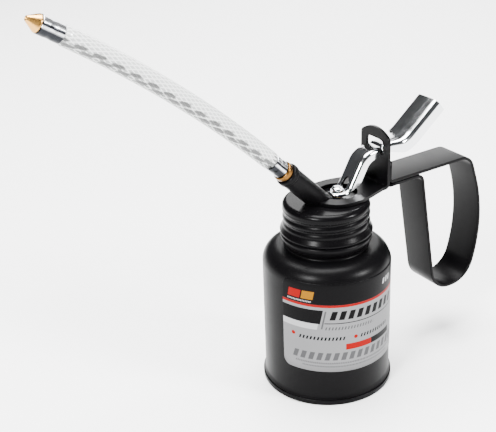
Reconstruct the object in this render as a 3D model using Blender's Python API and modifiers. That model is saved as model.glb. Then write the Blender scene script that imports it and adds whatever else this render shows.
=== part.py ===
"""Pump oil can with a lever, a strap handle and a flexible spout.

Lengths are metres and +Z is up. Sizes are given round the can's own axis. The whole can is then moved so
that the origin lies on the floor, under the middle of its overall box. The handle points along +X and the
spout along -X.
"""
import math

import bmesh
import bpy
from mathutils import Matrix, Vector

# Can
BODY_RADIUS = 0.0270
SHEET = 0.0006
BODY_STRAIGHT_TOP = 0.0560
SHOULDER_RADIUS = 0.0070
NECK_ROOT_RADIUS = 0.0167
SWELL_RADIUS = 0.0192
SWELL_CURVE = 0.0060
SWELL_FILLET = 0.0008
BODY_LOWER_EDGE = 0.0010
FOOT_FLARE = 0.0006
FOOT_FLARE_HEIGHT = 0.0022
SEAM_THICKNESS = 0.0007
SEAM_HEIGHT = 0.0024
BOTTOM_RECESS = 0.0025
SEAM_EASE = 0.0005

# Rolled thread, right-handed
THREAD_PITCH = 0.0034
THREAD_DEPTH = 0.0006
THREAD_FADE = 0.0012
NECK_THREAD_RISE = 0.0018

# Cap
CAP_RISE = 0.0064
CAP_HEIGHT = 0.0138
CAP_CORNER_RADIUS = 0.0022
CAP_BEAD_GROWTH = 0.0012
CAP_BEAD_RADIUS = 0.0009
CAP_FLARE_HEIGHT = 0.0034

# Label
LABEL_LOW = 0.0165
LABEL_OVER_SHOULDER = 0.0018
LABEL_THICKNESS = 0.0002
LABEL_START_DEG = -168.0
LABEL_SPAN_DEG = 250.0
LABEL_ROW = 0.0012
LABEL_CORNER = 0.0036
LABEL_LEAN = 0.028
LABEL_LEAN_DEG = 37.0

# Pump
PUMP_X = 0.0059
ROD_RADIUS = 0.0014
HEAD_RADIUS = 0.0025
HEAD_RISE = 0.0027
HEAD_HEIGHT = 0.0013
BLOCK_CLEARANCE = 0.00055
BLOCK_HEIGHT = 0.0100
BARREL_RADIUS = 0.0050
BARREL_WALL = 0.0009
BARREL_LOW = 0.0090
BARREL_SEAT_DEPTH = 0.0041
GLAND_RADIUS = 0.0026
GLAND_HEIGHT = 0.0021
PACKING_HEIGHT = 0.0012
GASKET_WIDTH = 0.0034
GASKET_THICKNESS = 0.0012
PISTON_LOW = 0.0300
PISTON_HEIGHT = 0.0042
CUP_HEIGHT = 0.0040
SPRING_WIRE = 0.00035
SPRING_RADIUS = 0.0030
SPRING_TURNS = 8
INLET_BALL_RADIUS = 0.0020
OUTLET_BALL_RADIUS = 0.0014
FOOT_SEAT = 0.0125
FOOT_TOP = 0.0190
FOOT_LOW = 0.0065
FOOT_BORE = 0.0014
BALL_PIN_RADIUS = 0.0004
BALL_LIFT = 0.0012

# Spout
SPOUT_ANGLE_DEG = 45.2
NOZZLE_ANGLE_DEG = 33.2
SOCKET_X = -0.0034
SOCKET_RADIUS = 0.0045
SOCKET_DEPTH = 0.0042
SOCKET_LENGTH = 0.0232
COLLAR_GROWTH = 0.0004
COLLAR_LENGTH = 0.0026
SOCKET_BORE = 0.0011
STUB_RADIUS = 0.0026
STUB_LENGTH = 0.0060
RING_RADIUS = 0.00415
RING_LENGTH = 0.0025
HOSE_RADIUS = 0.00375
HOSE_BORE = 0.0022
HOSE_BEND_RADIUS = 0.498
FERRULE_RADIUS = 0.0035
FERRULE_WALL = 0.0004
LOWER_FERRULE_LENGTH = 0.0064
UPPER_FERRULE_LENGTH = 0.0086
NOZZLE_CONE_LENGTH = 0.0044
NOZZLE_TIP_RADIUS = 0.0009
NOZZLE_BORE = 0.0004
BARB_RADIUS = 0.0019
BARB_BORE = 0.0009
BARB_LENGTH = 0.0120

# Handle strap and lever bracket, with heights above the cap's top. The grip's lower corners each have an X,
# a drop below the cap's top and a radius.
STRAP_THICKNESS = 0.00135
STRAP_WIDTH = 0.0164
STRAP_TAB_RISE = 0.0118
STRAP_TAB_BEND = 0.0018
GRIP_TOP_CORNER_X = 0.0454
GRIP_TOP_CORNER_RADIUS = 0.0032
GRIP_REAR_CORNER_X = 0.0730
GRIP_REAR_CORNER_RADIUS = 0.0070
GRIP_CORNERS = [
    (0.0549, 0.0586, 0.0110),
    (0.0750, 0.0588, 0.0120),
    (0.0839, 0.0287, 0.0670),
]
BRACKET_WIDTH = 0.0176
BRACKET_FACE_X = 0.0252
BRACKET_ARCH_RISE = 0.0034
BRACKET_BEND = 0.0022
FOOT_DISC_X = 0.0060
FOOT_DISC_RADIUS = 0.0134
FOOT_HOLE_RADIUS = 0.0082
WINDOW_WIDTH = 0.0109
WINDOW_RISE = 0.0138
WINDOW_HEIGHT = 0.0071
WINDOW_BAR = 0.0046
WINDOW_CORNER = 0.0014

# Thumb lever: its upper side is a path in X and Z with a radius at each corner. The nose's heights are from the
# underside of the plunger's head, the arm's from the lower edge of the bracket's window.
LEVER_SHEET = 0.0010
LEVER_NOSE_PATH = [
    (0.0027, -0.0010, 0.0),
    (0.0087, -0.0003, 0.0025),
]
LEVER_ARM_PATH = [
    (0.0166, 0.0024, 0.0090),
    (0.0378, 0.0058, 0.0050),
    (0.0536, 0.0184, 0.0),
]
LEVER_FRONT_WIDTH = 0.0092
LEVER_REAR_WIDTH = 0.0130
LEVER_FLARE_X = (0.0290, 0.0360)
LEVER_LIP = 0.0012
LEVER_ARM_DEPTH = 0.0040
LEVER_PIVOT_DEPTH = 0.0036
LEVER_REAR_DEPTH = 0.0060
LEVER_ARM_X = (0.0088, 0.0112)
LEVER_GROOVE_DEPTH = 0.0010
LEVER_GROOVE_WIDTH = 0.0016
PIVOT_NOTCH_RADIUS = 0.00095
SLOT_TRAVEL = 0.0053

# Fits
GAP = 0.0003
ROD_GAP = 0.0003
SLIDE_GAP = 0.0001

# Facets
ROUND = 32
SMALL_ROUND = 20
TINY_ROUND = 16
ROWS_PER_PITCH = 4
ARC_STEP_DEG = 12.0
TURNED_STEP_DEG = 18.0

PARTS = "oil_can"
CUTTERS = "oil_can_cutters"

# Values that follow from the sizes above
BODY_BORE = BODY_RADIUS - SHEET
SHOULDER_TOP = BODY_STRAIGHT_TOP + SHOULDER_RADIUS
CAP_LOWER_EDGE = SHOULDER_TOP + CAP_RISE
CAP_TOP = CAP_LOWER_EDGE + CAP_HEIGHT
LABEL_HIGH = BODY_STRAIGHT_TOP + LABEL_OVER_SHOULDER
SWELL_TOP = CAP_LOWER_EDGE - GAP
NECK_THREAD_LOW = CAP_LOWER_EDGE + NECK_THREAD_RISE
CAP_CREST_RADIUS = NECK_ROOT_RADIUS + THREAD_DEPTH + GAP + SHEET
CAP_INSIDE = CAP_TOP - SHEET
BLOCK_TOP = CAP_INSIDE - GAP
BLOCK_LOW = BLOCK_TOP - BLOCK_HEIGHT
BLOCK_RADIUS = NECK_ROOT_RADIUS - GAP / 2 - GASKET_WIDTH - BLOCK_CLEARANCE
NECK_TOP = BLOCK_TOP - GASKET_THICKNESS - GAP
GLAND_TOP = CAP_TOP
HEAD_UNDERSIDE = CAP_TOP + HEAD_RISE
STRAP_LOW = CAP_TOP + GAP
STRAP_HIGH = STRAP_LOW + STRAP_THICKNESS + GAP
BARREL_BORE = BARREL_RADIUS - BARREL_WALL
BARREL_SEAT = BLOCK_LOW + BARREL_SEAT_DEPTH
BARREL_TOP = BARREL_SEAT - GAP
STRAP_TAB_TOP = CAP_TOP + STRAP_TAB_RISE
WINDOW_LOW = CAP_TOP + WINDOW_RISE
WINDOW_HIGH = WINDOW_LOW + WINDOW_HEIGHT
BRACKET_ARCH_TOP = WINDOW_HIGH + WINDOW_BAR
PIVOT_X = BRACKET_FACE_X + STRAP_THICKNESS / 2
RING_START = SOCKET_LENGTH + GAP
FERRULE_START = RING_START + RING_LENGTH + GAP
HOSE_START = FERRULE_START + LOWER_FERRULE_LENGTH
CRIMPED_RADIUS = FERRULE_RADIUS - FERRULE_WALL - GAP


def clear_scene():
    """Remove every object so that the script can be run again."""
    for item in list(bpy.data.objects):
        bpy.data.objects.remove(item, do_unlink=True)


def make_collection(name, hidden=False):
    """Return a collection linked to the scene, hidden in renders if asked."""
    group = bpy.data.collections.get(name) or bpy.data.collections.new(name)
    if name not in bpy.context.scene.collection.children:
        bpy.context.scene.collection.children.link(group)
    group.hide_render = hidden
    return group


def make_material(name, colour, roughness, metallic, alpha=1.0):
    """Return a Principled BSDF material."""
    material = bpy.data.materials.new(name)
    material.use_nodes = True
    shader = material.node_tree.nodes["Principled BSDF"]
    shader.inputs["Base Color"].default_value = (*colour, 1.0)
    shader.inputs["Roughness"].default_value = roughness
    shader.inputs["Metallic"].default_value = metallic
    shader.inputs["Alpha"].default_value = alpha
    return material


def make_empty(name, location, parent=None, tilt_deg=0.0):
    """Return an empty that carries pieces; the tilt turns it about Y."""
    empty = bpy.data.objects.new(name, None)
    empty.location = location
    empty.rotation_euler = (0.0, math.radians(tilt_deg), 0.0)
    empty.parent = parent
    bpy.data.collections[PARTS].objects.link(empty)
    return empty


def add_piece(name, mesh, material, parent, location=(0.0, 0.0, 0.0)):
    """Put a mesh in the part's collection as a named piece."""
    piece = bpy.data.objects.new(name, mesh)
    piece.location = location
    piece.parent = parent
    if material:
        mesh.materials.append(material)
    bpy.data.collections[PARTS].objects.link(piece)
    return piece


def add_cutter(name, mesh, parent, location=(0.0, 0.0, 0.0)):
    """Put a mesh in the hidden collection as a cutter."""
    cutter = bpy.data.objects.new(name, mesh)
    cutter.location = location
    cutter.parent = parent
    cutter.display_type = "WIRE"
    bpy.data.collections[CUTTERS].objects.link(cutter)
    return cutter


def mesh_from(name, build):
    """Return a mesh filled by a function that works on a bmesh."""
    mesh = bpy.data.meshes.new(name)
    shape = bmesh.new()
    build(shape)
    shape.to_mesh(mesh)
    shape.free()
    return mesh


def cut(piece, *cutters, operation="DIFFERENCE"):
    """Add one Boolean modifier for each cutter."""
    for cutter in cutters:
        modifier = piece.modifiers.new(cutter.name, "BOOLEAN")
        modifier.operation = operation
        modifier.solver = "EXACT"
        modifier.object = cutter


def outline_mesh(name, outline, closed):
    """Return a mesh of edges along an outline of (radius, height) points at +X."""
    mesh = bpy.data.meshes.new(name)
    points = [(radius, 0.0, height) for radius, height in outline]
    edges = [(index, index + 1) for index in range(len(points) - 1)]
    if closed:
        edges.append((len(points) - 1, 0))
    mesh.from_pydata(points, edges, [])
    return mesh


def add_screw(piece, segments):
    """Turn an outline once round its Z axis."""
    screw = piece.modifiers.new("turn", "SCREW")
    screw.steps = segments
    screw.render_steps = segments
    screw.use_merge_vertices = True
    screw.merge_threshold = 0.00001
    screw.use_smooth_shade = True


def turned(name, outline, material, parent, segments=SMALL_ROUND, closed=True, location=(0.0, 0.0, 0.0)):
    """Add a turned piece. The outline runs down its outer side, and back up its bore if it is closed."""
    piece = add_piece(name, outline_mesh(name, outline, closed), material, parent, location)
    add_screw(piece, segments)
    return piece


def ball(name, radius, material, parent, location):
    """Add a ball."""
    mesh = mesh_from(name, lambda shape: bmesh.ops.create_uvsphere(
        shape, u_segments=TINY_ROUND, v_segments=TINY_ROUND // 2, radius=radius))
    return add_piece(name, mesh, material, parent, location)


def rod_cutter(name, radius, low, high, parent, location=(0.0, 0.0, 0.0), segments=SMALL_ROUND):
    """Add a cylinder cutter along the parent's Z from low to high."""
    def build(shape):
        bmesh.ops.create_cone(shape, cap_ends=True, segments=segments, radius1=radius, radius2=radius,
                              depth=high - low)
        bmesh.ops.translate(shape, verts=shape.verts, vec=(0.0, 0.0, (low + high) / 2))
    return add_cutter(name, mesh_from(name, build), parent, location)


def crossbar_mesh(name, radius, length):
    """Return a round bar along Y."""
    def build(shape):
        bmesh.ops.create_cone(shape, cap_ends=True, segments=TINY_ROUND, radius1=radius, radius2=radius,
                              depth=length)
        bmesh.ops.rotate(shape, verts=shape.verts, matrix=Matrix.Rotation(math.radians(90.0), 3, "X"))
    return mesh_from(name, build)


def arc(centre, radius, start_deg, end_deg, step_deg=ARC_STEP_DEG):
    """Return points along an arc in the plane of the outline, both ends included."""
    count = max(2, math.ceil(abs(end_deg - start_deg) / step_deg))
    angles = [math.radians(start_deg + (end_deg - start_deg) * index / count) for index in range(count + 1)]
    return [(centre[0] + radius * math.cos(angle), centre[1] + radius * math.sin(angle)) for angle in angles]


def rounded_path(corners, step_deg=ARC_STEP_DEG):
    """Return points along a line of (x, z, radius) corners, each corner turned into an arc."""
    points = [Vector(corners[0][:2])]
    for before, corner, after in zip(corners, corners[1:], corners[2:]):
        here = Vector(corner[:2])
        back = (Vector(before[:2]) - here).normalized()
        ahead = (Vector(after[:2]) - here).normalized()
        turn = math.pi - back.angle(ahead)
        reach = corner[2] * math.tan(turn / 2)
        centre = here + (back + ahead).normalized() * (corner[2] / math.cos(turn / 2))
        count = max(1, math.ceil(math.degrees(turn) / step_deg))
        start = here + back * reach - centre
        side = 1.0 if back.x * ahead.y - back.y * ahead.x < 0.0 else -1.0
        for index in range(count + 1):
            angle = side * turn * index / count
            cosine = math.cos(angle)
            sine = math.sin(angle)
            points.append(centre + Vector((start.x * cosine - start.y * sine, start.x * sine + start.y * cosine)))
    points.append(Vector(corners[-1][:2]))
    return points


def normals_along(points):
    """Return the unit normal on the right-hand side of each point of a path."""
    result = []
    for index, point in enumerate(points):
        before = points[max(index - 1, 0)]
        after = points[min(index + 1, len(points) - 1)]
        ahead = (after - point).normalized() if index < len(points) - 1 else Vector((0.0, 0.0))
        behind = (point - before).normalized() if index > 0 else Vector((0.0, 0.0))
        along = (ahead + behind).normalized()
        mitre = along.dot(ahead if index < len(points) - 1 else behind)
        result.append(Vector((along.y, -along.x)) / mitre)
    return result


def strip_outline(points, thickness):
    """Return the closed side outline of a bent sheet whose middle line is given."""
    normals = normals_along(points)
    right = [point + normal * thickness / 2 for point, normal in zip(points, normals)]
    left = [point - normal * thickness / 2 for point, normal in zip(points, normals)]
    return right + left[::-1]


def flat_curve(name, outline, depth, material, parent):
    """Add a flat outline in X and Z as a filled 2D curve, extruded along Y to the given depth."""
    curve = bpy.data.curves.new(name, "CURVE")
    curve.dimensions = "2D"
    curve.fill_mode = "BOTH"
    curve.extrude = depth / 2
    spline = curve.splines.new("POLY")
    spline.points.add(len(outline) - 1)
    for point, (x, z) in zip(spline.points, outline):
        point.co = (x, z, 0.0, 1.0)
    spline.use_cyclic_u = True
    if material:
        curve.materials.append(material)
    piece = bpy.data.objects.new(name, curve)
    piece.rotation_euler = (math.radians(90.0), 0.0, 0.0)
    piece.parent = parent
    bpy.data.collections[PARTS].objects.link(piece)
    return piece


def prism_mesh(name, outline, low, high, place):
    """Return a prism whose outline points (u, v) and depths w are put in space by a function."""
    def build(shape):
        near = [shape.verts.new(place(u, v, low)) for u, v in outline]
        shape.faces.new(near)
        grown = bmesh.ops.extrude_face_region(shape, geom=list(shape.faces))
        moved = [item for item in grown["geom"] if isinstance(item, bmesh.types.BMVert)]
        shift = Vector(place(0.0, 0.0, high)) - Vector(place(0.0, 0.0, low))
        bmesh.ops.translate(shape, verts=moved, vec=shift)
        bmesh.ops.recalc_face_normals(shape, faces=shape.faces)
    return mesh_from(name, build)


def loft(shape, rings, closed):
    """Join rings of points with faces; an open loft gets a face on its first and last ring."""
    rows = [[shape.verts.new(point) for point in ring] for ring in rings]
    pairs = list(zip(rows, rows[1:]))
    if closed:
        pairs.append((rows[-1], rows[0]))
    for row, following in pairs:
        for index in range(len(row)):
            nearby = (index + 1) % len(row)
            shape.faces.new((row[index], following[index], following[nearby], row[nearby]))
    if not closed:
        shape.faces.new(rows[0])
        shape.faces.new(rows[-1])
    bmesh.ops.recalc_face_normals(shape, faces=shape.faces)


def ridge(height, angle):
    """Return 0 in the thread's valley and 1 on its crest; it climbs one pitch for each turn to the left."""
    phase = height / THREAD_PITCH - angle / (2 * math.pi)
    return 0.5 + 0.5 * math.cos(2 * math.pi * phase)


def thread_fade(height, low, high):
    """Return how deep the thread is at a height, from 0 at the ends of its stretch to 1 inside it."""
    edge = min(height - low, high - height) / THREAD_FADE
    return max(0.0, min(1.0, edge))


def thread_rows(low, high):
    """Return the heights of the rows of a threaded stretch, from the top down."""
    count = math.ceil((high - low) / THREAD_PITCH * ROWS_PER_PITCH)
    return [high - (high - low) * index / count for index in range(count + 1)]


def ring_points(height, radius_at, segments):
    """Return one ring of points, with the radius given for each angle."""
    angles = [2 * math.pi * index / segments for index in range(segments)]
    return [(radius_at(angle) * math.cos(angle), radius_at(angle) * math.sin(angle), height) for angle in angles]


def plain_rings(outline, segments=ROUND):
    """Return round rings for an outline of (radius, height) points."""
    return [ring_points(height, lambda angle, radius=radius: radius, segments) for radius, height in outline]


def neck_thread_rings(segments=ROUND):
    """Return the rings of the can neck's rolled thread, from the top down."""
    high = NECK_TOP - THREAD_PITCH / 4
    rings = []
    for height in thread_rows(NECK_THREAD_LOW, high):
        depth = THREAD_DEPTH * thread_fade(height, NECK_THREAD_LOW, high)
        rings.append(ring_points(
            height, lambda angle, z=height, d=depth: NECK_ROOT_RADIUS + d * ridge(z, angle), segments))
    return rings


def cap_thread_rings(crest, segments=ROUND):
    """Return the rings of the cap skirt's rolled thread, outside or inside, from the top down."""
    low = CAP_LOWER_EDGE + CAP_FLARE_HEIGHT
    high = CAP_TOP - CAP_CORNER_RADIUS
    rings = []
    for height in thread_rows(low, high):
        depth = THREAD_DEPTH * thread_fade(height, low, high)
        rings.append(ring_points(
            height, lambda angle, z=height, d=depth: crest - d * (1.0 - ridge(z, angle)), segments))
    return rings


def swell_outline(inset):
    """Return the swell at the neck's foot and the hollow below it, from the top down.

    The inset is 0 on the outside of the sheet and the sheet's thickness on the inside.
    """
    centre = (SWELL_RADIUS - SWELL_CURVE, SWELL_TOP - SHEET)
    hollow_height = SHOULDER_TOP + SWELL_FILLET
    foot = math.asin((centre[1] - hollow_height - GAP) / SWELL_CURVE)
    hollow = (centre[0] + SWELL_CURVE * math.cos(foot) + SWELL_FILLET, hollow_height)
    swell = arc(centre, SWELL_CURVE - inset, 0.0, -math.degrees(foot), TURNED_STEP_DEG)
    return swell + arc(hollow, SWELL_FILLET + inset, 180.0, 270.0, step_deg=45.0)


def wall_foot(radius, fold):
    """Return the wall's flare above the seam and the fold back into it, from the top down.

    The growth goes with the square of the way down; the fold lies at the height given.
    """
    top = SEAM_HEIGHT + GAP + FOOT_FLARE_HEIGHT
    flare = [(radius + FOOT_FLARE * way ** 2, top + (fold - top) * way) for way in (0.0, 0.5, 1.0)]
    return flare + [(radius, fold)]


def build_can_body(material, parent):
    """Add the drawn shell in one sheet: body, shoulder, the swell below the cap and the threaded neck."""
    centre = (BODY_RADIUS - SHOULDER_RADIUS, BODY_STRAIGHT_TOP)
    neck_bore = NECK_ROOT_RADIUS - SHEET
    rings = neck_thread_rings()
    rings += plain_rings([(NECK_ROOT_RADIUS + SHEET, SWELL_TOP), (SWELL_RADIUS - SHEET, SWELL_TOP)])
    rings += plain_rings(swell_outline(0.0))
    rings += plain_rings(arc(centre, SHOULDER_RADIUS, 90.0, 0.0, TURNED_STEP_DEG))
    fold = SEAM_HEIGHT + GAP
    rings += plain_rings(wall_foot(BODY_RADIUS, fold))
    rings += plain_rings([(BODY_RADIUS, BODY_LOWER_EDGE), (BODY_BORE, BODY_LOWER_EDGE)])
    rings += plain_rings(wall_foot(BODY_BORE, fold + SHEET)[::-1])
    rings += plain_rings(arc(centre, SHOULDER_RADIUS - SHEET, 0.0, 90.0, TURNED_STEP_DEG))
    rings += plain_rings(swell_outline(SHEET)[::-1])
    rings += plain_rings([(neck_bore + SHEET, SWELL_TOP - SHEET), (neck_bore, SWELL_TOP + SHEET)])
    rings += plain_rings([(neck_bore, NECK_TOP), (NECK_ROOT_RADIUS, NECK_TOP)])
    mesh = mesh_from("can_body", lambda shape: loft(shape, rings, closed=True))
    mesh.shade_smooth()
    return add_piece("can_body", mesh, material, parent)


def build_can_bottom(material, parent):
    """Add the end disc, rolled round the lower edge of the body."""
    rim_bore = BODY_RADIUS + GAP
    rim = rim_bore + SEAM_THICKNESS
    wall_outside = BODY_BORE - GAP
    wall_inside = wall_outside - SHEET
    panel_top = BOTTOM_RECESS + SHEET
    outline = [
        (0.0, panel_top),
        (wall_outside - SEAM_EASE, panel_top),
        (wall_outside, panel_top - SEAM_EASE),
        (wall_outside, BODY_LOWER_EDGE - GAP),
        (rim_bore, BODY_LOWER_EDGE - GAP),
        (rim_bore, SEAM_HEIGHT - SEAM_EASE / 2),
        (rim_bore + SEAM_EASE / 2, SEAM_HEIGHT),
        (rim, SEAM_HEIGHT - SEAM_EASE),
        (rim, SEAM_EASE),
        (rim - SEAM_EASE, 0.0),
        (wall_inside + SEAM_EASE, 0.0),
        (wall_inside, SEAM_EASE),
        (wall_inside, BOTTOM_RECESS),
        (0.0, BOTTOM_RECESS),
    ]
    return turned("can_bottom", outline, material, parent, segments=ROUND, closed=False)


def can_radius(height):
    """Return the radius of the can's outside at a height, on the straight wall or on the shoulder."""
    rise = min(max(height - BODY_STRAIGHT_TOP, 0.0), SHOULDER_RADIUS)
    return BODY_RADIUS - SHOULDER_RADIUS + math.sqrt(SHOULDER_RADIUS ** 2 - rise ** 2)


def build_label(material, parent):
    """Add the wrapped label: a thin band, slightly crooked, its upper edge eased over the shoulder."""
    corner_deg = math.degrees(LABEL_CORNER / BODY_RADIUS)
    middle = [corner_deg + (LABEL_SPAN_DEG - 2 * corner_deg) * index / ROUND for index in range(ROUND + 1)]
    start = [corner_deg * share for share in (0.0, 0.3, 0.6)]
    end = [LABEL_SPAN_DEG - angle for angle in reversed(start)]
    rings = []
    for along in start + middle + end:
        angle = math.radians(LABEL_START_DEG + along)
        near_end = min(along, LABEL_SPAN_DEG - along, corner_deg) / corner_deg
        inset = LABEL_CORNER * (1.0 - math.sqrt(1.0 - (1.0 - near_end) ** 2))
        lean = -LABEL_LEAN * BODY_RADIUS * math.cos(angle + math.radians(LABEL_LEAN_DEG))
        low = LABEL_LOW + inset + lean
        high = LABEL_HIGH - inset + lean
        heights = [low, high - 2 * LABEL_ROW, high - LABEL_ROW, high]
        inner = [(can_radius(height) + GAP / 2, height) for height in heights]
        outer = [(radius + LABEL_THICKNESS, height) for radius, height in inner]
        rings.append([(radius * math.cos(angle), radius * math.sin(angle), height)
                      for radius, height in inner[::-1] + outer])
    mesh = mesh_from("label", lambda shape: loft(shape, rings, closed=False))
    mesh.shade_smooth()
    return add_piece("label", mesh, material, parent)


def build_cap(material, parent, socket_cutter, gland_cutter):
    """Add the pressed cap: flat top, rolled thread on its skirt, then a flare to a curled edge."""
    flat = CAP_CREST_RADIUS - CAP_CORNER_RADIUS
    widest = CAP_CREST_RADIUS + CAP_BEAD_GROWTH
    bead_centre = (widest - CAP_BEAD_RADIUS, CAP_LOWER_EDGE + CAP_BEAD_RADIUS)
    inside = CAP_CREST_RADIUS - SHEET
    centre = (flat, CAP_TOP - CAP_CORNER_RADIUS)
    rings = plain_rings(arc(centre, CAP_CORNER_RADIUS, 90.0, 15.0, step_deg=25.0))
    rings += cap_thread_rings(CAP_CREST_RADIUS)
    rings += plain_rings(arc(bead_centre, CAP_BEAD_RADIUS, 30.0, -90.0, step_deg=30.0))
    rings += plain_rings([(inside, CAP_LOWER_EDGE)])
    rings += cap_thread_rings(inside)[::-1]
    rings += plain_rings(arc(centre, CAP_CORNER_RADIUS - SHEET, 15.0, 90.0, step_deg=25.0))
    mesh = mesh_from("pump_cap", lambda shape: loft(shape, rings, closed=False))
    mesh.shade_smooth()
    cap = add_piece("pump_cap", mesh, material, parent)
    cut(cap, socket_cutter, gland_cutter)
    return cap


def build_gasket(material, parent):
    """Add the flat ring that the cap presses on the neck's lip."""
    outer = NECK_ROOT_RADIUS - GAP / 2
    low = NECK_TOP + GAP
    outline = [
        (outer, BLOCK_TOP),
        (outer, low),
        (outer - GASKET_WIDTH, low),
        (outer - GASKET_WIDTH, BLOCK_TOP),
    ]
    return turned("cap_gasket", outline, material, parent, segments=ROUND)


def build_valve_block(material, parent, pump_axis, spout_axis, socket_cutter):
    """Add the cast block under the cap, bored for the barrel, the rod, the gland and the outlet."""
    ease = SHEET
    outline = [
        (0.0, BLOCK_TOP),
        (BLOCK_RADIUS - ease, BLOCK_TOP),
        (BLOCK_RADIUS, BLOCK_TOP - ease),
        (BLOCK_RADIUS, BLOCK_LOW + ease),
        (BLOCK_RADIUS - ease, BLOCK_LOW),
        (0.0, BLOCK_LOW),
    ]
    block = turned("valve_block", outline, material, parent, closed=False, segments=ROUND)
    packing_seat = GLAND_TOP - GLAND_HEIGHT - PACKING_HEIGHT - 2 * GAP
    chamber_end = -SOCKET_DEPTH - GAP
    seat = chamber_end - 2 * OUTLET_BALL_RADIUS
    bores = [
        rod_cutter("barrel_seat", BARREL_RADIUS + GAP, 0.0, BARREL_SEAT, pump_axis),
        rod_cutter("rod_passage", ROD_RADIUS + ROD_GAP + SLIDE_GAP, 0.0, CAP_TOP, pump_axis),
        rod_cutter("gland_bore", GLAND_RADIUS + GAP, packing_seat, CAP_TOP, pump_axis),
        rod_cutter("ball_chamber", OUTLET_BALL_RADIUS + GAP, seat, 0.0, spout_axis, segments=TINY_ROUND),
        rod_cutter("outlet_passage", OUTLET_BALL_RADIUS - GAP, 2 * seat + SOCKET_DEPTH, 0.0, spout_axis,
                   segments=TINY_ROUND),
    ]
    cut(block, socket_cutter, *bores)
    return block


def build_barrel(material, axis):
    """Add the pump barrel, a plain tube that hangs from the block."""
    outline = [
        (BARREL_RADIUS, BARREL_TOP),
        (BARREL_RADIUS, BARREL_LOW),
        (BARREL_BORE, BARREL_LOW),
        (BARREL_BORE, BARREL_TOP),
    ]
    return turned("pump_barrel", outline, material, axis)


def build_gland(brass, rubber, axis):
    """Add the gland nut and its packing ring round the plunger rod."""
    bore = ROD_RADIUS + ROD_GAP
    nut_low = GLAND_TOP - GLAND_HEIGHT
    nut = [(GLAND_RADIUS, GLAND_TOP), (GLAND_RADIUS, nut_low), (bore, nut_low), (bore, GLAND_TOP)]
    turned("gland_nut", nut, brass, axis)
    top = nut_low - GAP
    low = top - PACKING_HEIGHT
    packing = [(GLAND_RADIUS, top), (GLAND_RADIUS, low), (bore, low), (bore, top)]
    turned("gland_packing", packing, rubber, axis)


def build_foot_valve(brass, steel, axis, inlet_parent):
    """Add the inlet fitting in the barrel's foot, its ball and the pin that keeps the ball down."""
    plug = BARREL_BORE - GAP
    cage = INLET_BALL_RADIUS + GAP
    outline = [
        (plug, FOOT_TOP),
        (plug, BARREL_LOW - GAP),
        (BARREL_RADIUS, BARREL_LOW - GAP),
        (BARREL_RADIUS, FOOT_LOW),
        (FOOT_BORE, FOOT_LOW),
        (FOOT_BORE, FOOT_SEAT),
        (cage, FOOT_SEAT),
        (cage, FOOT_TOP),
    ]
    fitting = turned("foot_valve", outline, brass, axis)
    drop = math.sqrt(INLET_BALL_RADIUS ** 2 - FOOT_BORE ** 2)
    centre = FOOT_SEAT + drop + SLIDE_GAP
    ball("inlet_ball", INLET_BALL_RADIUS, steel, inlet_parent, (PUMP_X, 0.0, centre))
    pin_height = centre + INLET_BALL_RADIUS + BALL_LIFT + BALL_PIN_RADIUS + GAP
    pin = crossbar_mesh("ball_pin", BALL_PIN_RADIUS, 2 * plug - 2 * GAP)
    add_piece("ball_pin", pin, steel, axis, (0.0, 0.0, pin_height))
    hole = crossbar_mesh("ball_pin_hole", BALL_PIN_RADIUS + SLIDE_GAP, 2 * BARREL_RADIUS)
    cut(fitting, add_cutter("ball_pin_hole", hole, axis, (0.0, 0.0, pin_height)))


def build_plunger(chrome, brass, rubber, spring_steel, axis):
    """Add what the lever lifts: rod with its domed head, piston, cup seal and return spring."""
    head_top = HEAD_UNDERSIDE + HEAD_HEIGHT
    rod = [
        (0.0, head_top),
        (HEAD_RADIUS * 0.5, head_top - HEAD_HEIGHT * 0.12),
        (HEAD_RADIUS * 0.85, head_top - HEAD_HEIGHT * 0.4),
        (HEAD_RADIUS, HEAD_UNDERSIDE + HEAD_HEIGHT * 0.2),
        (HEAD_RADIUS, HEAD_UNDERSIDE),
        (ROD_RADIUS, HEAD_UNDERSIDE),
        (ROD_RADIUS, PISTON_LOW + GAP),
        (0.0, PISTON_LOW + GAP),
    ]
    turned("plunger_rod", rod, chrome, axis, closed=False)
    bore = ROD_RADIUS + SLIDE_GAP
    slide = BARREL_BORE - SLIDE_GAP
    piston_top = PISTON_LOW + PISTON_HEIGHT
    piston = [(slide, piston_top), (slide, PISTON_LOW), (bore, PISTON_LOW), (bore, piston_top)]
    turned("piston", piston, brass, axis)
    cup_low = piston_top + GAP
    cup_top = cup_low + CUP_HEIGHT
    lip = slide - SHEET
    cup = [
        (slide, cup_top),
        (slide, cup_low),
        (bore, cup_low),
        (bore, cup_low + SHEET),
        (lip, cup_low + SHEET),
        (lip, cup_top),
    ]
    turned("piston_cup", cup, rubber, axis)
    build_return_spring(spring_steel, axis, cup_low + SHEET + SPRING_WIRE + GAP)


def build_return_spring(material, axis, low):
    """Add the coil that pushes the plunger back down."""
    high = BARREL_TOP - SPRING_WIRE
    steps = SPRING_TURNS * 10
    curve = bpy.data.curves.new("return_spring", "CURVE")
    curve.dimensions = "3D"
    curve.bevel_depth = SPRING_WIRE
    curve.bevel_resolution = 1
    curve.use_fill_caps = True
    spline = curve.splines.new("POLY")
    spline.points.add(steps)
    for index, point in enumerate(spline.points):
        angle = 2 * math.pi * SPRING_TURNS * index / steps
        height = low + (high - low) * index / steps
        point.co = (SPRING_RADIUS * math.cos(angle), SPRING_RADIUS * math.sin(angle), height, 1.0)
    curve.materials.append(material)
    spring = bpy.data.objects.new("return_spring", curve)
    spring.parent = axis
    bpy.data.collections[PARTS].objects.link(spring)
    return spring


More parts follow.
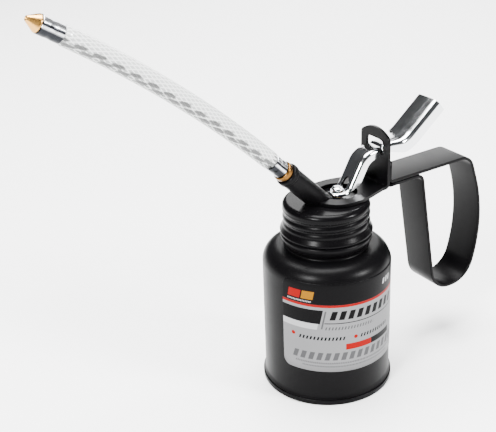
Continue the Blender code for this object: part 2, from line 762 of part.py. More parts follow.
def build_socket(material, axis):
    """Add the angled tube that carries the spout, with a collar at its upper end."""
    collar = SOCKET_RADIUS + COLLAR_GROWTH
    stub_seat = SOCKET_LENGTH - STUB_LENGTH - GAP
    cage = OUTLET_BALL_RADIUS + GAP
    cage_top = -SOCKET_DEPTH + OUTLET_BALL_RADIUS
    outline = [
        (collar, SOCKET_LENGTH),
        (collar, SOCKET_LENGTH - COLLAR_LENGTH),
        (SOCKET_RADIUS, SOCKET_LENGTH - COLLAR_LENGTH),
        (SOCKET_RADIUS, -SOCKET_DEPTH),
        (cage, -SOCKET_DEPTH),
        (cage, cage_top),
        (SOCKET_BORE, cage_top),
        (SOCKET_BORE, stub_seat),
        (STUB_RADIUS + GAP, stub_seat),
        (STUB_RADIUS + GAP, SOCKET_LENGTH),
    ]
    return turned("spout_socket", outline, material, axis)


def barb_outline(start, end):
    """Return the outer side of a barbed tail from start to end, with two ridges."""
    step = (end - start) / 3
    valley = BARB_RADIUS - GAP / 2
    points = []
    for index in range(3):
        here = start + step * index
        points += [(BARB_RADIUS, here), (valley, here + step * 0.9)]
    return points


def build_hose_adapter(material, axis):
    """Add the brass piece that joins the hose to the socket: barb above, ring, stub below."""
    ring_end = RING_START + RING_LENGTH
    barb = barb_outline(ring_end, ring_end + BARB_LENGTH)
    outline = barb[::-1]
    outline += [
        (RING_RADIUS, ring_end),
        (RING_RADIUS, RING_START),
        (STUB_RADIUS, RING_START),
        (STUB_RADIUS, SOCKET_LENGTH - STUB_LENGTH),
        (BARB_BORE, SOCKET_LENGTH - STUB_LENGTH),
        (BARB_BORE, ring_end + BARB_LENGTH),
    ]
    return turned("hose_adapter", outline, material, axis)


def build_ferrule(name, low, high, material, axis):
    """Add a chromed sleeve pressed on the end of the hose."""
    bore = FERRULE_RADIUS - FERRULE_WALL
    ease = FERRULE_WALL / 2
    outline = [
        (FERRULE_RADIUS - ease, high),
        (FERRULE_RADIUS, high - ease),
        (FERRULE_RADIUS, low + ease),
        (FERRULE_RADIUS - ease, low),
        (bore, low),
        (bore, high),
    ]
    return turned(name, outline, material, axis)


def hose_frame(distance):
    """Return a point of the hose's middle line and the upward normal there.

    The distance runs from the lower ferrule. The line is straight inside both ferrules and an arc between.
    """
    first = math.radians(SPOUT_ANGLE_DEG)
    last = math.radians(NOZZLE_ANGLE_DEG)
    arc_length = HOSE_BEND_RADIUS * (first - last)
    inside = min(max(distance, 0.0), arc_length)
    angle = first - inside / HOSE_BEND_RADIUS
    start = Vector((SOCKET_X - HOSE_START * math.cos(first), 0.0, CAP_TOP + HOSE_START * math.sin(first)))
    centre = start - HOSE_BEND_RADIUS * Vector((math.sin(first), 0.0, math.cos(first)))
    normal = Vector((math.sin(angle), 0.0, math.cos(angle)))
    along = Vector((-math.cos(angle), 0.0, math.sin(angle)))
    return centre + HOSE_BEND_RADIUS * normal + along * (distance - inside), normal


def hose_arc_length():
    """Return the length of the bare hose between the ferrules."""
    return HOSE_BEND_RADIUS * math.radians(SPOUT_ANGLE_DEG - NOZZLE_ANGLE_DEG)


def build_hose(material, parent):
    """Add the clear hose, lofted along its arc, thinner where the ferrules press it."""
    length = hose_arc_length()
    steps = 6
    low = -LOWER_FERRULE_LENGTH
    high = length + UPPER_FERRULE_LENGTH - GAP
    outside = [(low, CRIMPED_RADIUS), (-GAP, CRIMPED_RADIUS), (GAP, CRIMPED_RADIUS), (2 * GAP, HOSE_RADIUS)]
    outside += [(length * index / steps, HOSE_RADIUS) for index in range(1, steps)]
    outside += [(length - 2 * GAP, HOSE_RADIUS), (length - GAP, CRIMPED_RADIUS), (high, CRIMPED_RADIUS)]
    inside = [(high, HOSE_BORE)]
    inside += [(length * index / steps, HOSE_BORE) for index in range(steps, -1, -1)]
    inside += [(low, HOSE_BORE)]
    across = Vector((0.0, 1.0, 0.0))
    rings = []
    for distance, radius in outside + inside:
        point, normal = hose_frame(distance)
        angles = [2 * math.pi * index / SMALL_ROUND for index in range(SMALL_ROUND)]
        rings.append([point + radius * (math.cos(angle) * across + math.sin(angle) * normal) for angle in angles])
    mesh = mesh_from("spout_hose", lambda shape: loft(shape, rings, closed=True))
    mesh.shade_smooth()
    return add_piece("spout_hose", mesh, material, parent)


def build_nozzle(material, axis):
    """Add the brass cone at the spout's end, with the barbed tail that holds it in the hose."""
    base = UPPER_FERRULE_LENGTH + GAP
    tail_end = base - BARB_LENGTH
    tip = base + NOZZLE_CONE_LENGTH
    outline = [
        (NOZZLE_TIP_RADIUS, tip),
        (FERRULE_RADIUS - FERRULE_WALL / 2, base),
    ]
    outline += barb_outline(base, tail_end)
    outline += [(BARB_BORE, tail_end), (BARB_BORE, base), (NOZZLE_BORE, base + NOZZLE_CONE_LENGTH / 2),
                (NOZZLE_BORE, tip)]
    return turned("nozzle_tip", outline, material, axis)


def foot_outline():
    """Return the bracket's outline from above: a disc that narrows to the upright."""
    half = BRACKET_WIDTH / 2
    tail = BRACKET_FACE_X - BRACKET_BEND
    reach = tail - FOOT_DISC_X
    lean = math.degrees(math.atan2(half, reach))
    touch = math.degrees(math.acos(FOOT_DISC_RADIUS / math.hypot(half, reach)))
    disc = arc((FOOT_DISC_X, 0.0), FOOT_DISC_RADIUS, lean + touch, 360.0 - lean - touch)
    end = BRACKET_FACE_X + BRACKET_WIDTH
    return disc + [(tail, -half), (end, -half), (end, half), (tail, half)]


def upright_outline():
    """Return the bracket's outline from the front: wide at the foot, arched at the top."""
    half = BRACKET_WIDTH / 2
    wide = FOOT_DISC_RADIUS + STRAP_THICKNESS
    foot_top = STRAP_LOW + STRAP_THICKNESS + GAP
    arch_radius = (half ** 2 + BRACKET_ARCH_RISE ** 2) / (2 * BRACKET_ARCH_RISE)
    spread = math.degrees(math.asin(half / arch_radius))
    arch = arc((0.0, BRACKET_ARCH_TOP - arch_radius), arch_radius, 90.0 - spread + 4.0, 90.0 + spread - 4.0, 8.0)
    low = STRAP_LOW - GAP
    eased = BRACKET_ARCH_TOP - BRACKET_ARCH_RISE - WINDOW_CORNER / 2
    outline = [(-wide, low), (wide, low), (wide, foot_top), (half, foot_top), (half, eased)]
    return outline + arch + [(-half, eased), (-half, foot_top), (-wide, foot_top)]


def rounded_box(low_u, high_u, low_v, high_v, radius):
    """Return the outline of a rectangle with rounded corners."""
    corners = [
        ((high_u - radius, high_v - radius), 0.0),
        ((low_u + radius, high_v - radius), 90.0),
        ((low_u + radius, low_v + radius), 180.0),
        ((high_u - radius, low_v + radius), 270.0),
    ]
    outline = []
    for centre, start in corners:
        outline += arc(centre, radius, start, start + 90.0, step_deg=30.0)
    return outline


def build_bracket(material, parent, socket_cutter):
    """Add the pressed bracket: a keyhole foot on the cap and an upright with the lever's window."""
    middle = STRAP_LOW + STRAP_THICKNESS / 2
    upright = BRACKET_FACE_X + STRAP_THICKNESS / 2
    corners = [
        (FOOT_DISC_X - 2 * FOOT_DISC_RADIUS, middle, 0.0),
        (upright, middle, BRACKET_BEND - STRAP_THICKNESS / 2),
        (upright, BRACKET_ARCH_TOP + STRAP_THICKNESS, 0.0),
    ]
    side = [tuple(point) for point in strip_outline(rounded_path(corners, 30.0), STRAP_THICKNESS)]
    wide = 2 * FOOT_DISC_RADIUS
    bent = prism_mesh("fulcrum_bracket", side, -wide, wide, lambda u, v, w: (u, w, v))
    bracket = add_piece("fulcrum_bracket", bent, material, parent)
    plan = add_cutter("bracket_plan", prism_mesh(
        "bracket_plan", foot_outline(), 0.0, 2 * BRACKET_ARCH_TOP, lambda u, v, w: (u, v, w)), parent)
    front = add_cutter("bracket_front", prism_mesh(
        "bracket_front", upright_outline(), -wide, 2 * wide, lambda u, v, w: (w, u, v)), parent)
    half = WINDOW_WIDTH / 2
    window = add_cutter("bracket_window", prism_mesh(
        "bracket_window", rounded_box(-half, half, WINDOW_LOW, WINDOW_HIGH, WINDOW_CORNER),
        BRACKET_FACE_X - WINDOW_WIDTH, BRACKET_FACE_X + WINDOW_WIDTH, lambda u, v, w: (w, u, v)), parent)
    hole = rod_cutter("bracket_hole", FOOT_HOLE_RADIUS, CAP_TOP - GAP, CAP_TOP + 5 * STRAP_THICKNESS, parent,
                      (FOOT_DISC_X, 0.0, 0.0), segments=ROUND)
    cut(bracket, plan, front, operation="INTERSECT")
    cut(bracket, window, hole, socket_cutter)
    return bracket


def build_handle(material, parent):
    """Add the strap handle: one steel strip bent to a closed loop with a tab behind the bracket."""
    low = STRAP_LOW + STRAP_THICKNESS / 2
    high = STRAP_HIGH + STRAP_THICKNESS / 2
    tab = BRACKET_FACE_X + STRAP_THICKNESS + GAP + STRAP_THICKNESS / 2
    corners = [
        (tab, low, 0.0),
        (GRIP_TOP_CORNER_X, low, GRIP_TOP_CORNER_RADIUS),
        *[(x, CAP_TOP - drop, radius) for x, drop, radius in GRIP_CORNERS],
        (GRIP_REAR_CORNER_X, high, GRIP_REAR_CORNER_RADIUS),
        (tab, high, STRAP_TAB_BEND),
        (tab, STRAP_TAB_TOP, 0.0),
    ]
    side = strip_outline(rounded_path(corners), STRAP_THICKNESS)
    return flat_curve("handle_strap", side, STRAP_WIDTH, material, parent)


def lever_stations():
    """Return (point, normal, half width, depth) along the lever's upper side, from nose to thumb end."""
    corners = [(x, HEAD_UNDERSIDE + rise, radius) for x, rise, radius in LEVER_NOSE_PATH]
    corners += [(x, WINDOW_LOW + rise, radius) for x, rise, radius in LEVER_ARM_PATH]
    points = rounded_path(corners, step_deg=10.0)
    nose = LEVER_FRONT_WIDTH / 2
    along = (points[1] - points[0]).normalized()
    head = [points[0] + along * nose * share for share in (0.03, 0.12, 0.3, 0.55, 1.0)]
    reach = len([point for point in points if point.x < PIVOT_X])
    groove = groove_points(points[reach - 1], points[reach])
    flares = [along_path(points, x) for x in LEVER_FLARE_X if x > groove[-1].x]
    path = head + points[1:reach] + groove + flares + points[reach:]
    normals = normals_along(path)
    stations = []
    for index, point in enumerate(path):
        normal = normals[index] if not in_groove(point) else Vector((0.0, -1.0))
        stations.append((point, normal, half_width(point, points[0]), lever_depth(point)))
    return stations


def groove_points(before, after):
    """Return the small dip pressed across the lever where it rocks on the bracket."""
    slope = (after.y - before.y) / (after.x - before.x)
    middle = before.y + slope * (PIVOT_X - before.x)
    half = LEVER_GROOVE_WIDTH / 2
    return [
        Vector((PIVOT_X - half, middle - slope * half)),
        Vector((PIVOT_X, middle - LEVER_GROOVE_DEPTH)),
        Vector((PIVOT_X + half, middle + slope * half)),
    ]


def in_groove(point):
    """Return whether a point of the path belongs to the pressed groove."""
    return abs(point.x - PIVOT_X) < LEVER_GROOVE_WIDTH * 0.6


def along_path(points, x):
    """Return the point of the path at a given X."""
    for before, after in zip(points, points[1:]):
        if before.x <= x <= after.x:
            share = (x - before.x) / (after.x - before.x)
            return before.lerp(after, share)
    return points[-1].copy()


def blend(value, start, end):
    """Return how far a value lies between two others, from 0 to 1."""
    return max(0.0, min(1.0, (value - start) / (end - start)))


def half_width(point, tip):
    """Return half the lever's width at a point: a round nose, a narrow arm and a wider thumb piece."""
    nose = LEVER_FRONT_WIDTH / 2
    from_tip = min((point - tip).length / nose, 1.0)
    width = LEVER_FRONT_WIDTH + (LEVER_REAR_WIDTH - LEVER_FRONT_WIDTH) * blend(point.x, *LEVER_FLARE_X)
    return width / 2 * math.sqrt(1.0 - (1.0 - from_tip) ** 2)


def lever_depth(point):
    """Return how deep the lever's side walls are at a point."""
    if in_groove(point):
        return LEVER_PIVOT_DEPTH - (LEVER_GROOVE_DEPTH if abs(point.x - PIVOT_X) < SLIDE_GAP else 0.0)
    arm = LEVER_LIP + (LEVER_ARM_DEPTH - LEVER_LIP) * blend(point.x, *LEVER_ARM_X)
    if point.x < PIVOT_X:
        return arm + (LEVER_PIVOT_DEPTH - LEVER_ARM_DEPTH) * blend(point.x, LEVER_ARM_PATH[0][0], PIVOT_X)
    return LEVER_PIVOT_DEPTH + (LEVER_REAR_DEPTH - LEVER_PIVOT_DEPTH) * blend(point.x, *LEVER_FLARE_X)


def lever_rings(stations):
    """Return the rings of the pressed channel: outside, lower edges and inside of the sheet."""
    rings = []
    for point, normal, half, depth in stations:
        ease = min(LEVER_SHEET, half) * 0.6
        inner = max(half - LEVER_SHEET, half * 0.3)
        section = [
            (-half, depth),
            (-half, ease),
            (-half + ease * 0.3, ease * 0.3),
            (-half + ease, 0.0),
            (half - ease, 0.0),
            (half - ease * 0.3, ease * 0.3),
            (half, ease),
            (half, depth),
            (inner, depth),
            (inner, LEVER_SHEET),
            (-inner, LEVER_SHEET),
            (-inner, depth),
        ]
        rings.append([(point.x + normal.x * down, across, point.y + normal.y * down) for across, down in section])
    return rings


def build_lever(material, axis):
    """Add the thumb lever: a pressed channel with a slotted nose, rocking on the bracket's window."""
    rings = lever_rings(lever_stations())

    def build(shape):
        loft(shape, rings, closed=False)
        bmesh.ops.triangulate(shape, faces=shape.faces)
        bmesh.ops.translate(shape, verts=shape.verts, vec=back)
    back = Vector((-axis.location.x, 0.0, -axis.location.z))
    lever = add_piece("thumb_lever", mesh_from("thumb_lever", build), material, axis)
    half = ROD_RADIUS + ROD_GAP
    slot = add_cutter("lever_slot", prism_mesh(
        "lever_slot", rounded_box(PUMP_X - half, PUMP_X + SLOT_TRAVEL, -half, half, half * 0.98),
        CAP_TOP - LEVER_REAR_DEPTH, CAP_TOP + 2 * LEVER_REAR_DEPTH, lambda u, v, w: (u, v, w)), axis, back)
    notch = add_cutter("lever_notch", crossbar_mesh(
        "lever_notch", PIVOT_NOTCH_RADIUS, 2 * LEVER_FRONT_WIDTH), axis)
    cut(lever, slot, notch)
    return lever


def overall_box():
    """Return the lowest and highest X of all pieces."""
    bpy.context.view_layer.update()
    graph = bpy.context.evaluated_depsgraph_get()
    values = []
    for piece in bpy.data.collections[PARTS].objects:
        if piece.type == "EMPTY":
            continue
        solved = piece.evaluated_get(graph)
        mesh = solved.to_mesh()
        values += [(solved.matrix_world @ vertex.co).x for vertex in mesh.vertices]
        solved.to_mesh_clear()
    return min(values), max(values)


def main():
    """Build the whole oil can."""
    clear_scene()
    make_collection(PARTS)
    make_collection(CUTTERS, hidden=True)
    black = make_material("black_enamel", (0.012, 0.012, 0.014), 0.28, 0.0)
    print_ink = make_material("label_print", (0.42, 0.43, 0.45), 0.35, 0.0)
    chrome = make_material("chrome", (0.80, 0.81, 0.83), 0.12, 1.0)
    brass = make_material("brass", (0.72, 0.46, 0.20), 0.25, 1.0)
    steel = make_material("zinc_steel", (0.52, 0.53, 0.55), 0.38, 1.0)
    rubber = make_material("black_rubber", (0.03, 0.03, 0.03), 0.75, 0.0)
    clear = make_material("clear_hose", (0.86, 0.89, 0.87), 0.18, 0.0, alpha=0.35)

    root = make_empty("can_axis", (0.0, 0.0, 0.0))
    pump_axis = make_empty("pump_axis", (PUMP_X, 0.0, 0.0), root)
    plunger_axis = make_empty("plunger_axis", (PUMP_X, 0.0, 0.0), root)
    spout_axis = make_empty("spout_axis", (SOCKET_X, 0.0, CAP_TOP), root, SPOUT_ANGLE_DEG - 90.0)
    hose_end, _ = hose_frame(hose_arc_length())
    nozzle_axis = make_empty("nozzle_axis", hose_end, root, NOZZLE_ANGLE_DEG - 90.0)
    lever_axis = make_empty("lever_axis", (PIVOT_X, 0.0, WINDOW_LOW), root)

    socket_cutter = rod_cutter("socket_hole", SOCKET_RADIUS + GAP, -SOCKET_DEPTH - GAP, SOCKET_LENGTH / 2,
                               spout_axis)
    gland_cutter = rod_cutter("gland_hole", GLAND_RADIUS + GAP, CAP_INSIDE - GAP, CAP_TOP + GAP, pump_axis)

    build_can_body(black, root)
    build_can_bottom(black, root)
    build_label(print_ink, root)
    build_gasket(rubber, root)
    build_cap(black, root, socket_cutter, gland_cutter)
    build_valve_block(steel, root, pump_axis, spout_axis, socket_cutter)
    build_barrel(steel, pump_axis)
    build_gland(brass, rubber, pump_axis)
    build_foot_valve(brass, steel, pump_axis, root)
    build_plunger(chrome, brass, rubber, steel, plunger_axis)
    drop = math.sqrt(OUTLET_BALL_RADIUS ** 2 - (OUTLET_BALL_RADIUS - GAP) ** 2)
    rest = -SOCKET_DEPTH - GAP - 2 * OUTLET_BALL_RADIUS + drop + SLIDE_GAP
    ball("outlet_ball", OUTLET_BALL_RADIUS, steel, spout_axis, (0.0, 0.0, rest))
    build_socket(black, spout_axis)
    build_hose_adapter(brass, spout_axis)
    build_ferrule("lower_ferrule", FERRULE_START, HOSE_START, chrome, spout_axis)
    build_hose(clear, root)
    build_ferrule("upper_ferrule", 0.0, UPPER_FERRULE_LENGTH, chrome, nozzle_axis)
    build_nozzle(brass, nozzle_axis)
    build_bracket(black, root, socket_cutter)
    build_handle(black, root)
    build_lever(chrome, lever_axis)

    low, high = overall_box()
    root.location.x = -(low + high) / 2


main()
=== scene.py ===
"""Dressed model of a pump oil can: black enamel can, chromed thumb lever, strap handle and clear spout.

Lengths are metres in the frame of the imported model. Every new piece is a surface worked out with numpy on a
grid of two parameters. Sizes in the classes are given round the can's own axis, which stands at CAN_X.
"""

import logging
import math
from dataclasses import dataclass, field
from enum import Enum
from functools import cache, cached_property, partialmethod
from typing import Optional, Sequence, Union

import bmesh
import bpy
import numpy as np
from mathutils import Matrix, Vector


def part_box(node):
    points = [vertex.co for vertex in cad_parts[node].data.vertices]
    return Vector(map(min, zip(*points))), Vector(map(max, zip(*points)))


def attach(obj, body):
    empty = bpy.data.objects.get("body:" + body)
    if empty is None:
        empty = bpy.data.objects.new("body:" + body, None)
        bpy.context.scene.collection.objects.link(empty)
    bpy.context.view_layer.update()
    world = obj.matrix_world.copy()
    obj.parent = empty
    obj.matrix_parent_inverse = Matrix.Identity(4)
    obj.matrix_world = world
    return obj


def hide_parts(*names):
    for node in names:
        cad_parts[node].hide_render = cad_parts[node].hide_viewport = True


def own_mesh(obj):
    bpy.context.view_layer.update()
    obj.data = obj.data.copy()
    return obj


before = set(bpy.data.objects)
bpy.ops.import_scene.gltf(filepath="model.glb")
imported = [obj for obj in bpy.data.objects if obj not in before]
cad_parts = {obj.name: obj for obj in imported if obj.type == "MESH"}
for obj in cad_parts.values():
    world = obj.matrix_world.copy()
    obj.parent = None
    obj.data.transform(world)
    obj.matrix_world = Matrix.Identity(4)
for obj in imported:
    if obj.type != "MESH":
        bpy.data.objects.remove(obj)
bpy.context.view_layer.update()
CAN_X = (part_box("can_body")[0][0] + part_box("can_body")[1][0]) / 2
LOG = logging.getLogger("oil_can")

Array = np.ndarray
Material = bpy.types.Material
Piece = bpy.types.Object
Socket = bpy.types.NodeSocket
Pair = tuple[float, float]
Triple = tuple[float, float, float]
Value = Union[float, "Signal"]

FULL_TURN = 2 * math.pi
QUARTER = math.pi / 2
MERGE_DISTANCE = 0.000002
SHORTEST_EDGE = 0.000001
CUT_EDGE_DEG = 50.0
CUT_EDGE_STEPS = 2
CREST_POWER = 0.8
NECK_REACH = 0.00002
MILLIMETRES = 1000.0


class Body(Enum):
    """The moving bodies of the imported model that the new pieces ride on."""

    CAN = "can"
    HEAD = "pump_head"
    LEVER = "lever"
    PLUNGER = "plunger"


class Coordinates(Enum):
    """What a procedural pattern is laid out on."""

    OBJECT = "Object"
    UV = "UV"


# Shapes worked out with numpy


def fillet_path(corners: Sequence[Pair], radii: Sequence[float], step_deg: float = 6.0) -> Array:
    """Round the inner corners of a line in a plane.

    At each inner corner the arc's centre lies on the bisector, at radius / cos(half the turn) from the corner.

    Args:
        corners: The line's corners.
        radii: One radius for each inner corner.
        step_deg: The largest step along an arc.

    Returns:
        The points of the rounded line, shape (n, 2).
    """
    line = np.asarray(corners, dtype=float)
    pieces = [line[:1]]
    for index, radius in enumerate(radii, start=1):
        here = line[index]
        back, ahead = (way / np.linalg.norm(way) for way in (line[index - 1] - here, line[index + 1] - here))
        turn = math.pi - math.acos(float(np.clip(back @ ahead, -1.0, 1.0)))
        middle = back + ahead
        centre = here + middle / np.linalg.norm(middle) * radius / math.cos(turn / 2)
        start = here + back * radius * math.tan(turn / 2) - centre
        side = -math.copysign(1.0, float(back[0] * ahead[1] - back[1] * ahead[0]))
        count = max(2, math.ceil(math.degrees(turn) / step_deg))
        angle = side * turn * np.linspace(0.0, 1.0, count + 1)
        pieces.append(centre + np.stack([
            start[0] * np.cos(angle) - start[1] * np.sin(angle),
            start[0] * np.sin(angle) + start[1] * np.cos(angle),
        ], axis=1))
    return np.concatenate([*pieces, line[-1:]])


def refined(points: Array, step: float) -> Array:
    """Add points along the straight stretches of a line.

    Args:
        points: The line, shape (n, 2).
        step: The largest distance between neighbours.

    Returns:
        The line with the added points.
    """
    lengths = np.linalg.norm(np.diff(points, axis=0), axis=1)
    places = np.concatenate([[0.0], np.cumsum(lengths)])
    counts = np.maximum(1, np.ceil(lengths / step)).astype(int)
    wanted = np.concatenate([
        np.linspace(places[i], places[i + 1], counts[i], endpoint=False) for i in range(len(counts))
    ] + [places[-1:]])
    return np.stack([np.interp(wanted, places, points[:, k]) for k in range(2)], axis=1)


def path_normals(points: Array) -> Array:
    """Return the unit normal on the right-hand side of each point of a line, shape (n, 2)."""
    along = np.gradient(points, axis=0)
    along /= np.linalg.norm(along, axis=1, keepdims=True)
    return np.stack([along[:, 1], -along[:, 0]], axis=1)


def steps_round(segments: int) -> Array:
    """Return the angles of even steps once round an axis."""
    return np.linspace(0.0, FULL_TURN, segments, endpoint=False)


def lathe_grid(profile: Array, segments: int) -> Array:
    """Turn a profile about Z: the point at (r, z) goes to (r cos a, r sin a, z).

    Args:
        profile: Radii and heights, shape (n, 2).
        segments: The number of steps round the axis.

    Returns:
        The grid, shape (n, segments, 3).
    """
    angle = steps_round(segments)
    radius, height = profile[:, :1], profile[:, 1:]
    return np.stack([radius * np.cos(angle), radius * np.sin(angle), height + 0.0 * angle], axis=-1)


def tilted(grid: Array, origin: Pair, angle_deg: float) -> Array:
    """Lay a turned grid along an axis in the X-Z plane.

    Its own Z goes to (-cos a, 0, sin a) and its own X to (sin a, 0, cos a).

    Args:
        grid: The points, turned about Z.
        origin: X and Z of the place that the grid's origin goes to.
        angle_deg: The axis's angle a above the floor.

    Returns:
        The laid points.
    """
    angle = math.radians(angle_deg)
    x, y, z = grid[..., 0], grid[..., 1], grid[..., 2]
    return np.stack([
        origin[0] + x * math.sin(angle) - z * math.cos(angle),
        y,
        origin[1] + x * math.cos(angle) + z * math.sin(angle),
    ], axis=-1)


def moved(grid: Array, x: float = 0.0) -> Array:
    """Shift a grid from the can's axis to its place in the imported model's frame."""
    return grid + np.array([CAN_X + x, 0.0, 0.0])


@dataclass(frozen=True)
class RolledThread:
    """A rolled right-handed thread: a wave that runs round a turned wall and fades out at both ends."""

    depth: float
    pitch: float
    fade: float

    def wave(self, height: Array, angle: Array) -> Array:
        """Return 0 in the valley and 1 on the crest.

        It is half of one plus the cosine of 2 pi (height / pitch - angle / 2 pi), raised to a power below one
        for a fuller crest.
        """
        wave = 0.5 + 0.5 * np.cos(FULL_TURN * (height / self.pitch - angle / FULL_TURN))
        return wave ** CREST_POWER

    def raise_wall(self, grid: Array, low: float, high: float, wall: Array, inwards: bool) -> None:
        """Push a turned grid's wall out on the crests or, for a wall drawn at its crests, in at the valleys.

        Args:
            grid: The grid, shape (n, segments, 3), changed in place.
            low: The height where the thread begins.
            high: The height where it ends.
            wall: Which rows carry it, shape (n, 1).
            inwards: Whether the valleys are pushed in.
        """
        height, angle = grid[:, :1, 2], steps_round(grid.shape[1])
        share = np.clip(np.minimum(height - low, high - height) / self.fade, 0.0, 1.0) * wall
        wave = self.wave(height, angle)
        push = self.depth * share * (wave - 1.0 if inwards else wave)
        grid[..., 0] += push * np.cos(angle)
        grid[..., 1] += push * np.sin(angle)


# Making pieces


def grid_object(
    name: str,
    grid: Array,
    closed_rows: bool,
    closed_columns: bool,
    uv: Optional[Array] = None,
    end_faces: bool = False,
    keep: Optional[Array] = None,
) -> Piece:
    """Make a mesh of quads from a grid of points.

    Args:
        name: The piece's name.
        grid: Points, shape (rows, columns, 3).
        closed_rows: Whether the last row joins the first.
        closed_columns: Whether the last column joins the first.
        uv: U and V, with one more row or column where the grid is closed; the grid's own shares when left out.
        end_faces: Whether the first and last row get a face.
        keep: Which quads are made, shape (row steps, column steps).

    Returns:
        The new object.
    """
    rows, columns = grid.shape[:2]
    row_steps = rows if closed_rows else rows - 1
    column_steps = columns if closed_columns else columns - 1
    if uv is None:
        shares = np.meshgrid(*(np.linspace(0.0, 1.0, steps + 1) for steps in (row_steps, column_steps)), indexing="ij")
        uv = np.stack(shares, axis=-1)
    row, column = np.meshgrid(np.arange(row_steps), np.arange(column_steps), indexing="ij")
    if keep is not None:
        row, column = row[keep], column[keep]
    corner_rows = np.stack([row, row, row + 1, row + 1], axis=-1).reshape(-1, 4)
    corner_columns = np.stack([column, column + 1, column + 1, column], axis=-1).reshape(-1, 4)
    faces = ((corner_rows % rows) * columns + corner_columns % columns).tolist()
    loops = uv[corner_rows, corner_columns].reshape(-1, 2)
    if end_faces:
        first = np.arange(columns)
        faces += [first.tolist(), (first + (rows - 1) * columns).tolist()]
        loops = np.concatenate([loops, uv[0, :columns], uv[rows - 1, :columns]])
    mesh = bpy.data.meshes.new(name)
    mesh.from_pydata(grid.reshape(-1, 3), [], faces)
    mesh.uv_layers.new(name="surface").uv.foreach_set("vector", loops.astype(np.float32).ravel())
    clean = bmesh.new()
    clean.from_mesh(mesh)
    bmesh.ops.remove_doubles(clean, verts=clean.verts, dist=MERGE_DISTANCE)
    bmesh.ops.dissolve_degenerate(clean, edges=clean.edges, dist=SHORTEST_EDGE)
    bmesh.ops.recalc_face_normals(clean, faces=clean.faces)
    clean.to_mesh(mesh)
    clean.free()
    mesh.shade_smooth()
    piece = bpy.data.objects.new(name, mesh)
    bpy.context.scene.collection.objects.link(piece)
    return piece


def mirrored_sheet(name: str, x: Array, y: Array, z: Array, thickness: float, edge: float) -> Piece:
    """Make a pressed sheet from half of its middle surface and that half's mirror image across Y = 0.

    The halves are not joined along the middle: there the sheet is open, or their edges fall together.

    Args:
        name: The piece's name.
        x: X on the half's grid, or one column of it.
        y: Y on the half's grid, shape (rows, columns), growing from the middle outwards.
        z: Z on the half's grid, or one column of it.
        thickness: The sheet's thickness.
        edge: The size of the broken cut edges.

    Returns:
        The new object.
    """
    half = np.stack([np.broadcast_to(x, y.shape), y, np.broadcast_to(z, y.shape)], axis=-1)
    grid = np.concatenate([half[:, ::-1] * np.array([1.0, -1.0, 1.0]), half], axis=1)
    keep = np.ones((len(y) - 1, grid.shape[1] - 1), dtype=bool)
    keep[:, y.shape[1] - 1] = False
    piece = grid_object(name, moved(grid), False, False, keep=keep)
    wall = piece.modifiers.new("sheet", "SOLIDIFY")
    wall.thickness = thickness
    wall.offset = 0.0
    wall.use_even_offset = False
    bevel = piece.modifiers.new("broken_edges", "BEVEL")
    bevel.width = edge
    bevel.segments = CUT_EDGE_STEPS
    bevel.limit_method = "ANGLE"
    bevel.angle_limit = math.radians(CUT_EDGE_DEG)
    bevel.harden_normals = True
    return piece


# Finishes


class Signal:
    """A value that varies over a surface; arithmetic with signals and numbers adds Math nodes."""

    def __init__(self, desk: "Desk", socket: Socket) -> None:
        """Hold a socket of a desk's material."""
        self.desk, self.socket = desk, socket

    def math(self, operation: str, *others: Value) -> "Signal":
        """Return a Math node's result, with this signal as its first input."""
        return self.desk.node("ShaderNodeMath", 0, dict(enumerate((self, *others))), operation=operation)

    __add__ = partialmethod(math, "ADD")
    __sub__ = partialmethod(math, "SUBTRACT")
    __mul__ = partialmethod(math, "MULTIPLY")
    __truediv__ = partialmethod(math, "DIVIDE")
    __pow__ = partialmethod(math, "POWER")

    def fold(self) -> "Signal":
        """Return the distance from the middle of each whole step: 0.5 at its ends, 0 half-way."""
        return (self.math("FRACT") - 0.5).math("ABSOLUTE")

    def spread(self, low: float, high: float, to_low: float, to_high: float) -> "Signal":
        """Map this signal from one range to another, held inside it."""
        return self.desk.node("ShaderNodeMapRange", "Result", {
            "Value": self, "From Min": low, "From Max": high, "To Min": to_low, "To Max": to_high})


